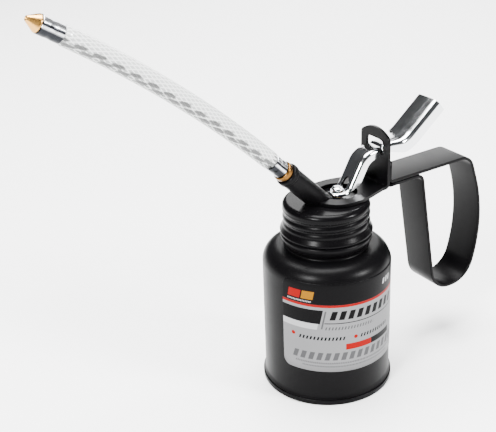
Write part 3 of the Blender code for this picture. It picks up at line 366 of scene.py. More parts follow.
class Desk:
    """Builds the nodes of one material."""

    def __init__(self, name: str) -> None:
        """Start a material with its Principled shader."""
        self.material = bpy.data.materials.new(name)
        self.material.use_nodes = True
        self.tree = self.material.node_tree
        self.shader = self.tree.nodes["Principled BSDF"]

    @cached_property
    def here(self) -> "Signal":
        """The piece's object coordinates."""
        return self.coordinates(Coordinates.OBJECT)

    def fill(self, socket: Socket, value: object) -> None:
        """Join a signal to an input, or set the input to a plain value."""
        if isinstance(value, Signal):
            self.tree.links.new(value.socket, socket)
        else:
            socket.default_value = value

    def set(self, **values: object) -> None:
        """Fill the shader's inputs; an underscore in a name stands for a space."""
        for key, value in values.items():
            self.fill(self.shader.inputs[key.replace("_", " ")], value)

    def node(self, kind: str, output: Union[int, str], inputs: dict, **settings: object) -> Signal:
        """Add a node.

        Args:
            kind: The node's type.
            output: Which of its outputs is wanted.
            inputs: The values of its inputs, by name or place.
            settings: Its other settings.

        Returns:
            The output's signal.
        """
        made = self.tree.nodes.new(kind)
        for key, value in settings.items():
            setattr(made, key, value)
        for key, value in inputs.items():
            self.fill(made.inputs[key], value)
        return Signal(self, made.outputs[output])

    def coordinates(self, kind: Coordinates, scale: Triple = (1.0, 1.0, 1.0)) -> Signal:
        """Return coordinates of one kind, scaled on each axis."""
        source = self.node("ShaderNodeTexCoord", kind.value, {})
        return self.node("ShaderNodeMapping", "Vector", {"Vector": source, "Scale": scale})

    def surface(self) -> tuple[Signal, Signal]:
        """Return the piece's own U and V."""
        whole = self.coordinates(Coordinates.UV)
        return tuple(self.node("ShaderNodeSeparateXYZ", place, {0: whole}) for place in (0, 1))

    def noise(self, vector: Signal, scale: float, detail: float = 3.0, roughness: float = 0.5) -> Signal:
        """Return fractal noise between 0 and 1."""
        return self.node("ShaderNodeTexNoise", "Fac", {
            "Vector": vector, "Scale": scale, "Detail": detail, "Roughness": roughness})

    def mix(self, factor: Signal, first: object, second: object) -> Signal:
        """Mix two colours; each is a signal or three numbers."""
        colours = [(*colour, 1.0) if isinstance(colour, tuple) else colour for colour in (first, second)]
        return self.node("ShaderNodeMix", 2, {0: factor, 6: colours[0], 7: colours[1]}, data_type="RGBA")

    def bump(self, height: Signal, distance: float, strength: float = 1.0) -> None:
        """Feed a bump of the given height in metres to the shader."""
        self.set(Normal=self.node("ShaderNodeBump", "Normal", {
            "Height": height, "Strength": strength, "Distance": distance}))


@dataclass(frozen=True)
class Enamel:
    """Baked black enamel: deep gloss with fine orange peel and faint dust."""

    name: str = "black_enamel"
    slot: str = "black_enamel"
    colour: Triple = (0.0014, 0.0013, 0.0015)
    dust: Triple = (0.0036, 0.0034, 0.0038)
    gloss: Pair = (0.30, 0.36)
    reflection: float = 0.045
    cloud_scale: float = 90.0
    dust_scale: float = 2600.0
    peel_scale: float = 900.0
    peel: float = 0.000008

    def build(self) -> Material:
        """Return the material."""
        desk = Desk(self.name)
        dust = desk.noise(desk.here, self.dust_scale, 2.0).spread(0.55, 0.75, 0.0, 1.0)
        desk.set(Base_Color=desk.mix(dust, self.colour, self.dust), Specular_IOR_Level=self.reflection,
                 Roughness=desk.noise(desk.here, self.cloud_scale, 4.0, 0.6).spread(0.3, 0.7, *self.gloss))
        desk.bump(desk.noise(desk.here, self.peel_scale, 1.0), self.peel)
        return desk.material


@dataclass(frozen=True)
class Plating:
    """Bright or matt metal: a base colour with stains, and lines drawn along one direction."""

    name: str
    slot: str
    colour: Triple
    stain: Triple
    gloss: Pair
    lines: Triple = (900.0, 900.0, 900.0)
    line_depth: float = 0.000004
    cloud_scale: float = 140.0

    def build(self) -> Material:
        """Return the material."""
        desk = Desk(self.name)
        drawn = desk.noise(desk.coordinates(Coordinates.OBJECT, self.lines), 1.0, 4.0, 0.7)
        cloud = desk.noise(desk.here, self.cloud_scale, 3.0, 0.6)
        desk.set(Base_Color=desk.mix(cloud.spread(0.45, 0.8, 0.0, 0.6), self.colour, self.stain), Metallic=1.0,
                 Roughness=drawn.spread(0.3, 0.7, *self.gloss) + cloud.spread(0.5, 0.8, 0.0, 0.05))
        desk.bump(drawn, self.line_depth)
        return desk.material


@dataclass(frozen=True)
class DrawnSleeve:
    """Drawn bright sleeve: V runs round it from its top. Two bands of painted dark reflection lie along it on each side
    of its underside.
    """

    name: str = "drawn_sleeve"
    slot: str = "chrome"
    bright: Triple = (0.62, 0.63, 0.65)
    # Painted reflection: the dark colour and the places of two bands that stand in for dark surroundings mirrored in
    # the sleeve.
    reflection_dark: Triple = (0.016, 0.017, 0.019)
    gloss: Pair = (0.22, 0.34)
    reflection_bands: tuple[Pair, Pair] = ((0.290, 0.026), (0.135, 0.095))
    lines: Triple = (0.5, 60.0, 1.0)
    raggedness: float = 0.4
    line_depth: float = 0.000006

    def build(self) -> Material:
        """Return the material: the painted reflection bands' edges are broken by fine lines along the sleeve."""
        desk = Desk(self.name)
        below = desk.surface()[1].fold()
        lines = desk.noise(desk.coordinates(Coordinates.UV, self.lines), 1.0, 4.0, 0.7)
        # Painted reflection: two dark bands, each spread from its middle over its half-width.
        narrow, wide = (((below - middle).math("ABSOLUTE") / half + lines * self.raggedness)
                        .spread(1.0, 1.3, 1.0, 0.0) for middle, half in self.reflection_bands)
        desk.set(Base_Color=desk.mix(narrow.math("MAXIMUM", wide), self.bright, self.reflection_dark), Metallic=1.0,
                 Roughness=lines.spread(0.3, 0.7, *self.gloss))
        desk.bump(lines, self.line_depth)
        return desk.material


@dataclass(frozen=True)
class Rubber:
    """Black moulded rubber with a fine grain."""

    name: str = "black_rubber"
    slot: str = "black_rubber"
    colour: Triple = (0.018, 0.018, 0.019)
    bloom: Triple = (0.045, 0.045, 0.047)
    gloss: Pair = (0.60, 0.85)
    bloom_scale: float = 200.0
    grain_scale: float = 1800.0
    grain_depth: float = 0.00002

    def build(self) -> Material:
        """Return the material."""
        desk = Desk(self.name)
        grain = desk.noise(desk.here, self.grain_scale)
        desk.set(Base_Color=desk.mix(desk.noise(desk.here, self.bloom_scale), self.colour, self.bloom),
                 Roughness=grain.spread(0.3, 0.7, *self.gloss))
        desk.bump(grain, self.grain_depth)
        return desk.material


@dataclass(frozen=True)
class ClearHoseSkin:
    """Clear hose over a white braid: U runs round the hose from its top, V along it in metres."""

    name: str = "clear_hose"
    slot: str = "clear_hose"
    thread: Triple = (0.80, 0.81, 0.80)
    pale: Triple = (0.42, 0.43, 0.425)
    # Painted shade: the darker colour laid along the hose's underside.
    under: Triple = (0.045, 0.053, 0.048)
    shade: Triple = (0.004, 0.005, 0.0045)
    gloss: Pair = (0.14, 0.30)
    threads: float = 16.0
    braid_pitch: float = 0.0600
    braid_depth: float = 0.00006
    fleck_pitch: float = 0.0078
    fleck_rows: Pair = (0.197, 0.132)
    fleck_shift: float = 0.45
    fleck_lean: float = -0.030
    fleck_size: Pair = (0.40, 0.040)
    raggedness: float = 1.3
    ragged_scale: Triple = (40.0, 700.0, 1.0)
    frayed: float = 0.0034

    def build(self) -> Material:
        """Return the material: crossed threads, painted grey shade on the underside and rows of dark flecks where the
        bore shows.
        """
        desk = Desk(self.name)
        round_it, along = desk.surface()
        turns = along / self.braid_pitch
        left, right = (((round_it + turns * sign) * self.threads).fold().spread(0.08, 0.20, 1.0, 0.0)
                       for sign in (1.0, -1.0))
        braid = left.math("MAXIMUM", right)
        below = round_it.fold()
        # Painted shade: the hose darkens towards its underside, and the braid shows less there.
        underside_shade = below.spread(0.08, 0.30, 1.0, 0.0)
        covered = braid * underside_shade.spread(0.0, 1.0, 0.75, 0.45)
        woven = desk.mix(covered, desk.mix(underside_shade, self.pale, self.under), self.thread)
        ragged = desk.noise(desk.coordinates(Coordinates.UV, self.ragged_scale), 1.0)
        first, second = (self.flecks(along, below, ragged, row) for row in range(2))
        dark = first.math("MAXIMUM", second).math("MAXIMUM", self.fraying(along, round_it))
        desk.set(Base_Color=desk.mix(dark, woven, self.shade), Roughness=braid.spread(0.0, 1.0, *self.gloss),
                 Coat_Weight=0.5, Coat_Roughness=0.08, Subsurface_Weight=0.2, Subsurface_Radius=(0.6, 0.62, 0.6),
                 Subsurface_Scale=0.0015, IOR=1.5)
        desk.bump(braid, self.braid_depth, 0.6)
        return desk.material

    def flecks(self, along: Signal, below: Signal, ragged: Signal, row: int) -> Signal:
        """Return one row of slanted dashes: an ellipse repeated along the hose, its edge made ragged.

        Args:
            along: The place along the hose.
            below: The share of a turn from the belly.
            ragged: The noise that breaks the edges.
            row: Which row it is.

        Returns:
            The share of dark.
        """
        long = (along / self.fleck_pitch + self.fleck_shift * row).math("FRACT") - 0.5
        wide = below - self.fleck_rows[row] - long * self.fleck_lean
        reach = (long / self.fleck_size[0]) ** 2.0 + (wide / self.fleck_size[1]) ** 2.0
        return (reach + ragged * self.raggedness).spread(1.1, 1.8, 0.95, 0.0)

    def fraying(self, along: Signal, round_it: Signal) -> Signal:
        """Return the dark scallops at the hose's lower end, between the braid's cut threads."""
        scallop = (round_it * (math.pi * self.threads)).math("SINE").math("ABSOLUTE")
        return (along - scallop * self.frayed).spread(-0.0003, 0.0003, 0.8, 0.0)


class Ink(Enum):
    """The colours of the label's print."""

    BLACK = (0.0014, 0.0013, 0.0015)
    SILVER = (0.125, 0.125, 0.128)
    LIGHT = (0.27, 0.27, 0.275)
    RED = (0.170, 0.0006, 0.0006)
    AMBER = (0.19, 0.078, 0.0002)
    GREY = (0.048, 0.048, 0.050)


class Mark(Enum):
    """The plain shapes of the print; each value is the name of the method that draws it."""

    BAND = "band"
    BADGE = "badge"
    STRIPES = "stripes"
    DOT = "dot"


@dataclass(frozen=True)
class LabelPrint:
    """Printed label: U and V are millimetres from its lower left corner. Plain fields of colour, no lettering.

    Each mark has its ink, its left and right end, its lower and upper edge and, for stripes, the inked share of
    a step; a dot has its middle and its radius. A left end of -9 lies beyond the label's edge.
    """

    name: str = "label_print"
    slot: str = "label_print"
    gloss: Pair = (0.36, 0.44)
    reflection: float = 0.035
    raster: float = 9.0
    soft: float = 0.06
    stripe_soft: float = 0.03
    badge_lean: float = 0.2
    stripe_lean: float = 0.3
    stripe_step: float = 0.95
    cloud_scale: float = 160.0
    grain_scale: float = 1500.0
    grain_depth: float = 0.000006
    marks: tuple[tuple, ...] = (
        (Mark.BADGE, Ink.BLACK, -9.0, 16.6, 22.9, 29.4),
        (Mark.BADGE, Ink.LIGHT, -9.0, 15.3, 20.2, 22.9),
        (Mark.BADGE, Ink.GREY, 16.9, 17.6, 20.6, 29.0),
        (Mark.BAND, Ink.BLACK, 18.4, 118.0, 23.1, 23.5),
        (Mark.STRIPES, Ink.BLACK, 20.4, 54.0, 24.9, 28.9, 0.62),
        (Mark.STRIPES, Ink.GREY, 18.6, 40.0, 20.2, 21.6, 0.45),
        (Mark.DOT, Ink.RED, 5.1, 16.8, 0.85),
        (Mark.DOT, Ink.RED, 31.6, 16.1, 0.85),
        (Mark.STRIPES, Ink.BLACK, 7.6, 26.6, 15.2, 16.8, 0.50),
        (Mark.STRIPES, Ink.BLACK, 33.7, 49.8, 15.2, 16.8, 0.50),
        (Mark.BAND, Ink.RED, 27.3, 39.3, 10.4, 13.2),
        (Mark.BAND, Ink.BLACK, 39.3, 52.0, 10.4, 13.2),
        (Mark.STRIPES, Ink.GREY, 4.6, 58.0, 5.6, 9.2, 0.60),
        (Mark.STRIPES, Ink.GREY, 6.0, 54.0, 3.7, 4.5, 0.55),
        (Mark.STRIPES, Ink.GREY, 9.0, 50.0, 2.2, 2.9, 0.55),
        (Mark.BAND, Ink.RED, -9.0, 130.0, 30.7, 31.8),
        (Mark.BAND, Ink.BLACK, -9.0, 130.0, 31.8, 60.0),
        (Mark.BADGE, Ink.RED, 2.6, 8.0, 33.9, 37.6),
        (Mark.BADGE, Ink.AMBER, 8.6, 13.6, 33.9, 37.6),
        (Mark.STRIPES, Ink.LIGHT, 2.4, 13.0, 32.5, 33.2, 0.55),
        (Mark.STRIPES, Ink.LIGHT, 46.0, 52.0, 35.6, 38.0, 0.55),
    )

    def build(self) -> Material:
        """Return the material: the marks are laid over a silver raster one after the other."""
        desk = Desk(self.name)
        across, up = desk.surface()
        raster = (across * self.raster).math("SINE") * (up * self.raster).math("SINE")
        colour = desk.mix(raster.spread(0.1, 0.7, 0.0, 0.30), Ink.SILVER.value, Ink.LIGHT.value)
        for mark, ink, *sizes in self.marks:
            colour = desk.mix(getattr(self, mark.value)(across, up, *sizes), colour, ink.value)
        desk.set(Base_Color=colour, Specular_IOR_Level=self.reflection,
                 Roughness=desk.noise(desk.here, self.cloud_scale).spread(0.3, 0.7, *self.gloss))
        desk.bump(desk.noise(desk.here, self.grain_scale), self.grain_depth)
        return desk.material

    def over(self, value: Signal, edge: float) -> Signal:
        """Return 1 above a soft edge and 0 below it."""
        return value.spread(edge - self.soft, edge + self.soft, 0.0, 1.0)

    def under(self, value: Signal, edge: float) -> Signal:
        """Return 1 below a soft edge and 0 above it."""
        return value.spread(edge - self.soft, edge + self.soft, 1.0, 0.0)

    def band(self, across: Signal, up: Signal, left: float, right: float, low: float, high: float) -> Signal:
        """Return 1 inside an upright rectangle."""
        return (self.over(across, left) * self.under(across, right)) * (self.over(up, low) * self.under(up, high))

    def badge(self, across: Signal, up: Signal, left: float, right: float, low: float, high: float) -> Signal:
        """Return 1 inside a rectangle whose ends lean to the right."""
        return self.band(across - (up - low) * self.badge_lean, up, left, right, low, high)

    def stripes(self, across: Signal, up: Signal, left: float, right: float, low: float, high: float,
                share: float) -> Signal:
        """Return 1 on even slanted stripes inside a leaning rectangle.

        Args:
            across: The place across the label.
            up: The place up the label.
            left: The left end at the lower edge.
            right: The right end at the lower edge.
            low: The lower edge.
            high: The upper edge.
            share: The inked share of each step.

        Returns:
            The share of ink.
        """
        leaned = across - (up - low) * self.stripe_lean
        saw = ((leaned - left) / ((high - low) * self.stripe_step)).math("FRACT")
        inked = saw.spread(share - self.stripe_soft, share + self.stripe_soft, 1.0, 0.0)
        return inked * self.band(leaned, up, left, right, low, high)

    def dot(self, across: Signal, up: Signal, u: float, v: float, radius: float) -> Signal:
        """Return 1 inside a round dot."""
        return self.under(((across - u) ** 2.0 + (up - v) ** 2.0).math("SQRT"), radius)


class Finish(Enum):
    """Every finish of the can."""

    ENAMEL = Enamel()
    CAP_ENAMEL = Enamel(name="cap_enamel", gloss=(0.21, 0.28))
    LABEL = LabelPrint()
    CHROME = Plating("chrome", "chrome", (0.66, 0.67, 0.68), (0.56, 0.57, 0.58), (0.07, 0.15),
                     (60.0, 900.0, 900.0), 0.0000015)
    SLEEVE = DrawnSleeve()
    BRASS = Plating("brass", "brass", (0.62, 0.33, 0.085), (0.44, 0.21, 0.050), (0.22, 0.34))
    OLD_BRASS = Plating("old_brass", "brass", (0.12, 0.056, 0.013), (0.05, 0.023, 0.006), (0.20, 0.34))
    STEEL = Plating("zinc_steel", "zinc_steel", (0.50, 0.51, 0.53), (0.40, 0.41, 0.43), (0.28, 0.45),
                    (500.0, 500.0, 2400.0))
    RUBBER = Rubber()
    HOSE = ClearHoseSkin()


@cache
def material_of(finish: Finish) -> Material:
    """Return a finish's material, which is built once."""
    return finish.value.build()


def place(piece: Piece, finish: Finish, body: Body, node: str) -> str:
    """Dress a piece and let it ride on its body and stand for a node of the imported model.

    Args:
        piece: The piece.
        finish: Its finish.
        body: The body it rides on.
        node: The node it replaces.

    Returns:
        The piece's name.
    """
    piece.data.materials.append(material_of(finish))
    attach(piece, body.value)
    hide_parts(node)
    return piece.name


# Sub-assemblies


@dataclass
class CanShell:
    """The drawn can, its seamed bottom and its wrapped label."""

    radius: float = 0.0270
    wall: float = 0.0006
    straight_top: float = 0.0560
    shoulder: float = 0.0070
    swell_radius: float = 0.0192
    swell_curve: float = 0.0060
    swell_fillet: float = 0.0008
    swell_top: float = 0.0691
    neck_root: float = 0.0167
    neck_top: float = 0.0808
    thread_low: float = 0.0712
    thread: RolledThread = RolledThread(0.0006, 0.0034, 0.0012)
    lower_edge: float = 0.0010
    seam_radius: float = 0.0280
    seam_height: float = 0.0024
    foot_flare: float = 0.0006
    foot_flare_height: float = 0.0022
    recess: float = 0.0025
    label_low: float = 0.0165
    label_high: float = 0.0578
    label_start_deg: float = -168.0
    label_span_deg: float = 250.0
    label_corner: float = 0.0036
    label_lean: float = 0.028
    label_lean_deg: float = 37.0
    label_lift: float = 0.00020
    label_sink: float = 0.00014
    label_steps: int = 160
    corner_steps: int = 10
    lip_radius: float = 0.0002
    throat_radius: float = 0.0005
    seam_radii: tuple[float, ...] = (0.0006, 0.0001, 0.0001, 0.0003, 0.00038, 0.0006, 0.0006, 0.0004)
    gap: float = 0.0003
    step: float = 0.00045
    bottom_step: float = 0.0012
    segments: int = 144

    def build(self) -> list[str]:
        """Build and dress the shell, the bottom and the label; return the pieces' names."""
        return [place(self.shell(), Finish.ENAMEL, Body.CAN, "can_body"),
                place(self.bottom(), Finish.ENAMEL, Body.CAN, "can_bottom"),
                place(self.label(), Finish.LABEL, Body.CAN, "label")]

    def shell(self) -> Piece:
        """Return the drawn shell: a closed profile turned about Z, its neck's outer side raised by the thread.

        The radius is the profile's own plus the thread's, which fades out at the ends of the neck.
        """
        lip = [(self.neck_root - self.wall, self.neck_top), (self.neck_root, self.neck_top),
               (self.neck_root, self.swell_top), (self.swell_radius - self.wall, self.swell_top)]
        outer = np.concatenate([fillet_path(lip, [self.lip_radius, self.throat_radius]), self.side_line(0.0)])
        throat = [(self.swell_radius - 2 * self.wall, self.swell_top - self.wall),
                  (self.neck_root - self.wall, self.swell_top - self.wall), (self.neck_root - self.wall, self.neck_top)]
        inner = np.concatenate([self.side_line(self.wall)[::-1], fillet_path(throat, [self.throat_radius])])
        profile = refined(np.concatenate([outer, inner[:-1]]), self.step)
        grid = lathe_grid(profile, self.segments)
        neck = np.abs(profile[:, :1] - self.neck_root) < NECK_REACH
        self.thread.raise_wall(grid, self.thread_low, self.neck_top - self.thread.pitch / 4, neck, False)
        return grid_object("can_shell", moved(grid), True, True)

    def side_line(self, inset: float) -> Array:
        """Return the can's side from the swell below the cap to the lower edge, moved in by the inset.

        Three arcs follow each other: the swell bulges out, a hollow turns it flat and the shoulder turns it down.
        Above the seam the wall flares by foot_flare times t squared, then folds back and runs down into the seam.

        Args:
            inset: How far the line lies inside the sheet's outer side.

        Returns:
            The line's radii and heights, shape (n, 2).
        """
        top = self.straight_top + self.shoulder
        centre = np.array([self.swell_radius - self.swell_curve, self.swell_top - self.wall])
        foot = math.asin((centre[1] - top - self.swell_fillet - self.gap) / self.swell_curve)
        hollow = np.array([centre[0] + self.swell_curve * math.cos(foot) + self.swell_fillet,
                           top + self.swell_fillet])
        corner = np.array([self.radius - self.shoulder, self.straight_top])
        arcs = [(centre, self.swell_curve - inset, np.linspace(0.0, -foot, 12)),
                (hollow, self.swell_fillet + inset, np.linspace(math.pi, 1.5 * math.pi, 8)),
                (corner, self.shoulder - inset, np.linspace(QUARTER, 0.0, 24))]
        points = [middle + size * np.stack([np.cos(turn), np.sin(turn)], axis=1) for middle, size, turn in arcs]
        wall = self.radius - inset
        flare_top = self.seam_height + self.gap + self.foot_flare_height
        fold = self.seam_height + self.gap + inset
        way = np.linspace(0.0, 1.0, 12)
        flare = np.stack([wall + self.foot_flare * way ** 2, flare_top + (fold - flare_top) * way], axis=1)
        return np.concatenate(points + [flare, np.array([[wall, fold], [wall, self.lower_edge]])])

    def bottom(self) -> Piece:
        """Return the end disc with its rolled seam: a closed profile turned about Z."""
        outside = self.radius - self.wall - self.gap
        inside = outside - self.wall
        panel = self.recess + self.wall
        grip = self.radius + self.gap
        under = self.lower_edge - self.gap
        profile = fillet_path(
            [(0.0, panel), (outside, panel), (outside, under), (grip, under), (grip, self.seam_height),
             (self.seam_radius, self.seam_height), (self.seam_radius, 0.0), (inside, 0.0), (inside, self.recess),
             (0.0, self.recess)], self.seam_radii)
        grid = lathe_grid(refined(profile, self.bottom_step), self.segments)
        return grid_object("can_end_seam", moved(grid), False, True)

    def label(self) -> Piece:
        """Return the label: a thin band round the can whose edges lean and whose corners are quarter circles.

        At angle a its lower edge is low + inset - lean radius cos(a + lean angle), and its upper edge mirrors it.
        Above the straight wall it follows the shoulder: sqrt(shoulder squared - rise squared) from its centre.
        U and V are the print's own: millimetres round the can from the left end, and up from the lower edge.
        """
        corner = math.degrees(self.label_corner / self.radius)
        near = corner * (1.0 - np.cos(np.linspace(0.0, QUARTER, self.corner_steps, endpoint=False)))
        along = np.concatenate([near, np.linspace(corner, self.label_span_deg - corner, self.label_steps),
                                self.label_span_deg - near[::-1]])
        angle = np.radians(self.label_start_deg + along)
        share = np.clip(np.minimum(along, self.label_span_deg - along) / corner, 0.0, 1.0)
        inset = self.label_corner * (1.0 - np.sqrt(np.clip(1.0 - (1.0 - share) ** 2, 0.0, 1.0)))
        lean = -self.label_lean * self.radius * np.cos(angle + math.radians(self.label_lean_deg))
        low, high = self.label_low + inset + lean, self.label_high - inset + lean
        steps = np.concatenate([[0.0], np.linspace(0.0, 0.92, 9), np.linspace(0.94, 1.0, 6), [1.0]])
        height = low[:, None] + (high - low)[:, None] * steps[None, :]
        rise = np.clip(height - self.straight_top, 0.0, self.shoulder)
        radius = self.radius - self.shoulder + np.sqrt(self.shoulder ** 2 - rise ** 2) + self.label_lift
        radius[:, [0, -1]] -= self.label_sink
        grid = np.stack([radius * np.cos(angle)[:, None], radius * np.sin(angle)[:, None], height], axis=-1)
        up = height - lean[:, None] - self.label_low
        uv = np.stack([np.broadcast_to(np.radians(along)[:, None] * self.radius, up.shape), up], axis=-1) * MILLIMETRES
        return grid_object("can_label", moved(grid), False, True, np.concatenate([uv, uv[:, :1]], axis=1), True)


@dataclass
class RibbedCap:
    """The pressed cap with its rolled thread, flared and curled lower edge and the hole for the gland."""

    crest: float = 0.0182
    top: float = 0.0832
    wall: float = 0.0006
    corner: float = 0.0022
    thread: RolledThread = RolledThread(0.0006, 0.0034, 0.0008)
    lower_edge: float = 0.0694
    bead: float = 0.0009
    bead_growth: float = 0.0012
    flare_height: float = 0.0034
    hole_x: float = 0.0059
    hole_radius: float = 0.0029
    flare_bend: float = 0.0020
    step: float = 0.0003
    segments: int = 160

    def build(self) -> list[str]:
        """Build and dress the cap; return its name."""
        return [place(self.cap(), Finish.CAP_ENAMEL, Body.HEAD, "pump_cap")]

    def cap(self) -> Piece:
        """Return the cap: a closed profile turned about Z, pushed in by the thread's valleys.

        Near the top the circle's centre slides towards the gland, so the innermost ring is the gland's hole.
        """
        bead_centre = self.crest + self.bead_growth - self.bead
        inside = self.crest - self.wall
        low, high = self.lower_edge + self.flare_height, self.top - self.corner
        turn = np.radians(np.linspace(30.0, -90.0, 14))
        bead_line = np.stack([bead_centre + self.bead * np.cos(turn),
                              self.lower_edge + self.bead + self.bead * np.sin(turn)], axis=1)
        outer = fillet_path([(self.hole_radius, self.top), (self.crest, self.top), (self.crest, low),
                             tuple(bead_line[0])], [self.corner, self.flare_bend])
        inner = fillet_path([(inside, self.lower_edge), (inside, self.top - self.wall),
                             (self.hole_radius, self.top - self.wall)], [self.corner - self.wall])
        profile = refined(np.concatenate([outer, bead_line, inner]), self.step)
        grid = lathe_grid(profile, self.segments)
        self.thread.raise_wall(grid, low, high, np.ones((len(profile), 1)), True)
        flat = self.crest - self.corner
        grid[..., 0] += self.hole_x * np.clip((flat - profile[:, :1]) / (flat - self.hole_radius), 0.0, 1.0)
        return grid_object("ribbed_cap", moved(grid), True, True)


@dataclass
class Spout:
    """The angled socket, brass adapter, ferrules, clear hose and brass nozzle, all turned round one axis."""

    start_x: float = -0.0034
    start_z: float = 0.0832
    angle_deg: float = 45.2
    end_angle_deg: float = 33.2
    bend_radius: float = 0.498
    socket_radius: float = 0.0045
    socket_depth: float = 0.0042
    socket_length: float = 0.0232
    socket_bore: float = 0.0029
    collar_growth: float = 0.0004
    collar_length: float = 0.0026
    ring_radius: float = 0.00415
    ring_length: float = 0.0025
    stub_radius: float = 0.0026
    stub_length: float = 0.0060
    hose_radius: float = 0.00375
    hose_bore: float = 0.0022
    ferrule_radius: float = 0.0035
    ferrule_wall: float = 0.0004
    ferrule_waist: float = 0.00015
    lower_ferrule: float = 0.0064
    upper_ferrule: float = 0.0086
    cone: float = 0.0044
    tip_radius: float = 0.0009
    barb_radius: float = 0.0019
    tip_bore: float = 0.0004
    barb_length: float = 0.0120
    tail_bore: float = 0.0009
    swell_length: float = 0.00035
    hose_steps: int = 90
    socket_radii: tuple[float, ...] = (0.0007, 0.0004, 0.0002, 0.0003)
    ring_radii: tuple[float, ...] = (0.0006, 0.0006, 0.0001, 0.0003)
    sleeve_radii: Pair = (0.00018, 0.0003)
    cone_radii: Triple = (0.0002, 0.0003, 0.0001)
    socket_step: float = 0.0015
    sleeve_step: float = 0.0003
    tail_gap: float = 0.0002
    tooth: float = 0.9
    squeeze: float = 0.3
    gap: float = 0.0003
    segments: int = 72

    @property
    def ring_start(self) -> float:
        """Where the brass ring begins along the axis."""
        return self.socket_length + self.gap

    @property
    def ferrule_start(self) -> float:
        """Where the lower ferrule begins along the axis."""
        return self.ring_start + self.ring_length + self.gap

    @property
    def hose_start(self) -> float:
        """Where the bare hose begins along the axis."""
        return self.ferrule_start + self.lower_ferrule

    @property
    def arc_length(self) -> float:
        """The length of the bare hose."""
        return self.bend_radius * math.radians(self.angle_deg - self.end_angle_deg)

    def build(self) -> list[str]:
        """Build and dress the spout's pieces; return their names."""
        rows = [(self.socket(), Finish.ENAMEL, "spout_socket"),
                (self.adapter(), Finish.OLD_BRASS, "hose_adapter"),
                (self.sleeve("bright_lower_ferrule", self.ferrule_start, self.lower_ferrule, False), Finish.SLEEVE,
                 "lower_ferrule"),
                (self.hose(), Finish.HOSE, "spout_hose"),
                (self.sleeve("bright_upper_ferrule", 0.0, self.upper_ferrule, True), Finish.SLEEVE, "upper_ferrule"),
                (self.nozzle(), Finish.BRASS, "nozzle_tip")]
        return [place(piece, finish, Body.HEAD, node) for piece, finish, node in rows]

    def turned(self, name: str, profile: Array, at_nozzle: bool = False) -> Piece:
        """Return a closed profile turned about the socket's axis or the nozzle's.

        Args:
            name: The piece's name.
            profile: Radii and places along the axis, shape (n, 2).
            at_nozzle: Whether it stands on the nozzle's axis.

        Returns:
            The new object.
        """
        grid = lathe_grid(profile, self.segments)
        if at_nozzle:
            laid = tilted(grid, self.hose_point(np.array([self.arc_length]))[0][0], self.end_angle_deg)
        else:
            laid = tilted(grid, (self.start_x, self.start_z), self.angle_deg)
        return grid_object(name, moved(laid), True, True)

    def socket(self) -> Piece:
        """Return the socket tube with its rounded collar."""
        collar = self.socket_radius + self.collar_growth
        top, bore = self.socket_length, self.socket_bore
        low = top - self.collar_length
        outer = fillet_path([(bore, top), (collar, top), (collar, low), (self.socket_radius, low),
                             (self.socket_radius, -self.socket_depth), (bore, -self.socket_depth)],
                            self.socket_radii)
        return self.turned("angled_socket", refined(outer, self.socket_step))

    def barbs(self, start: float, end: float) -> list[Pair]:
        """Return the outer side of a barbed tail: three teeth between two places on the axis.

        Args:
            start: Where the tail begins along the axis.
            end: Where it ends.

        Returns:
            Radii and places.
        """
        step = (end - start) / 3
        valley = self.barb_radius - self.gap / 2
        return [point for i in range(3) for point in
                ((self.barb_radius, start + step * i), (valley, start + step * (i + self.tooth)))]

    def adapter(self) -> Piece:
        """Return the brass adapter: barbed tail in the hose, ring, stub in the socket."""
        low, high = self.ring_start, self.ring_start + self.ring_length
        ring = self.ring_radius
        foot, end = low - self.stub_length, high + self.barb_length
        body = fillet_path([(self.barb_radius, high), (ring, high), (ring, low), (self.stub_radius, low),
                            (self.stub_radius, foot), (self.tail_bore, foot)], self.ring_radii)
        tail = self.barbs(high + self.tail_gap, end)[::-1]
        return self.turned("brass_adapter", np.concatenate([np.asarray(tail), body, [(self.tail_bore, end)]]))

    def sleeve(self, name: str, low: float, length: float, at_nozzle: bool) -> Piece:
        """Return a pressed sleeve with rolled ends and a shallow waist where it grips the hose.

        The waist is a smooth bump: its depth times the sine of pi times the place along the middle third.

        Args:
            name: The piece's name.
            low: Where it begins along the axis.
            length: Its length.
            at_nozzle: Whether it stands on the nozzle's axis.

        Returns:
            The new object.
        """
        bore = self.ferrule_radius - self.ferrule_wall
        profile = refined(fillet_path(
            [(bore, low), (self.ferrule_radius, low), (self.ferrule_radius, low + length), (bore, low + length)],
            self.sleeve_radii), self.sleeve_step)
        share = np.clip((profile[:, 1] - low) / length * 3.0 - 1.0, 0.0, 1.0)
        outside = profile[:, 0] > bore + self.ferrule_wall * 0.9
        profile[:, 0] -= self.ferrule_waist * np.sin(math.pi * share) * outside
        return self.turned(name, profile, at_nozzle)

    def hose_point(self, distance: Array) -> tuple[Array, Array]:
        """Return the hose's middle line in the X-Z plane.

        It is straight inside the ferrules and an arc of the bend radius between them: at angle a the arc's point
        is the centre plus the radius times (sin a, cos a).

        Args:
            distance: Distances from the lower ferrule's upper end, shape (n,).

        Returns:
            The points (x, z) and the normals above the hose, each shape (n, 2).
        """
        first = math.radians(self.angle_deg)
        inside = np.clip(distance, 0.0, self.arc_length)
        angle = first - inside / self.bend_radius
        start = np.array([self.start_x - self.hose_start * math.cos(first),
                          self.start_z + self.hose_start * math.sin(first)])
        centre = start - self.bend_radius * np.array([math.sin(first), math.cos(first)])
        normal = np.stack([np.sin(angle), np.cos(angle)], axis=-1)
        along = np.stack([-np.cos(angle), np.sin(angle)], axis=-1)
        return centre + self.bend_radius * normal + along * (distance - inside)[:, None], normal

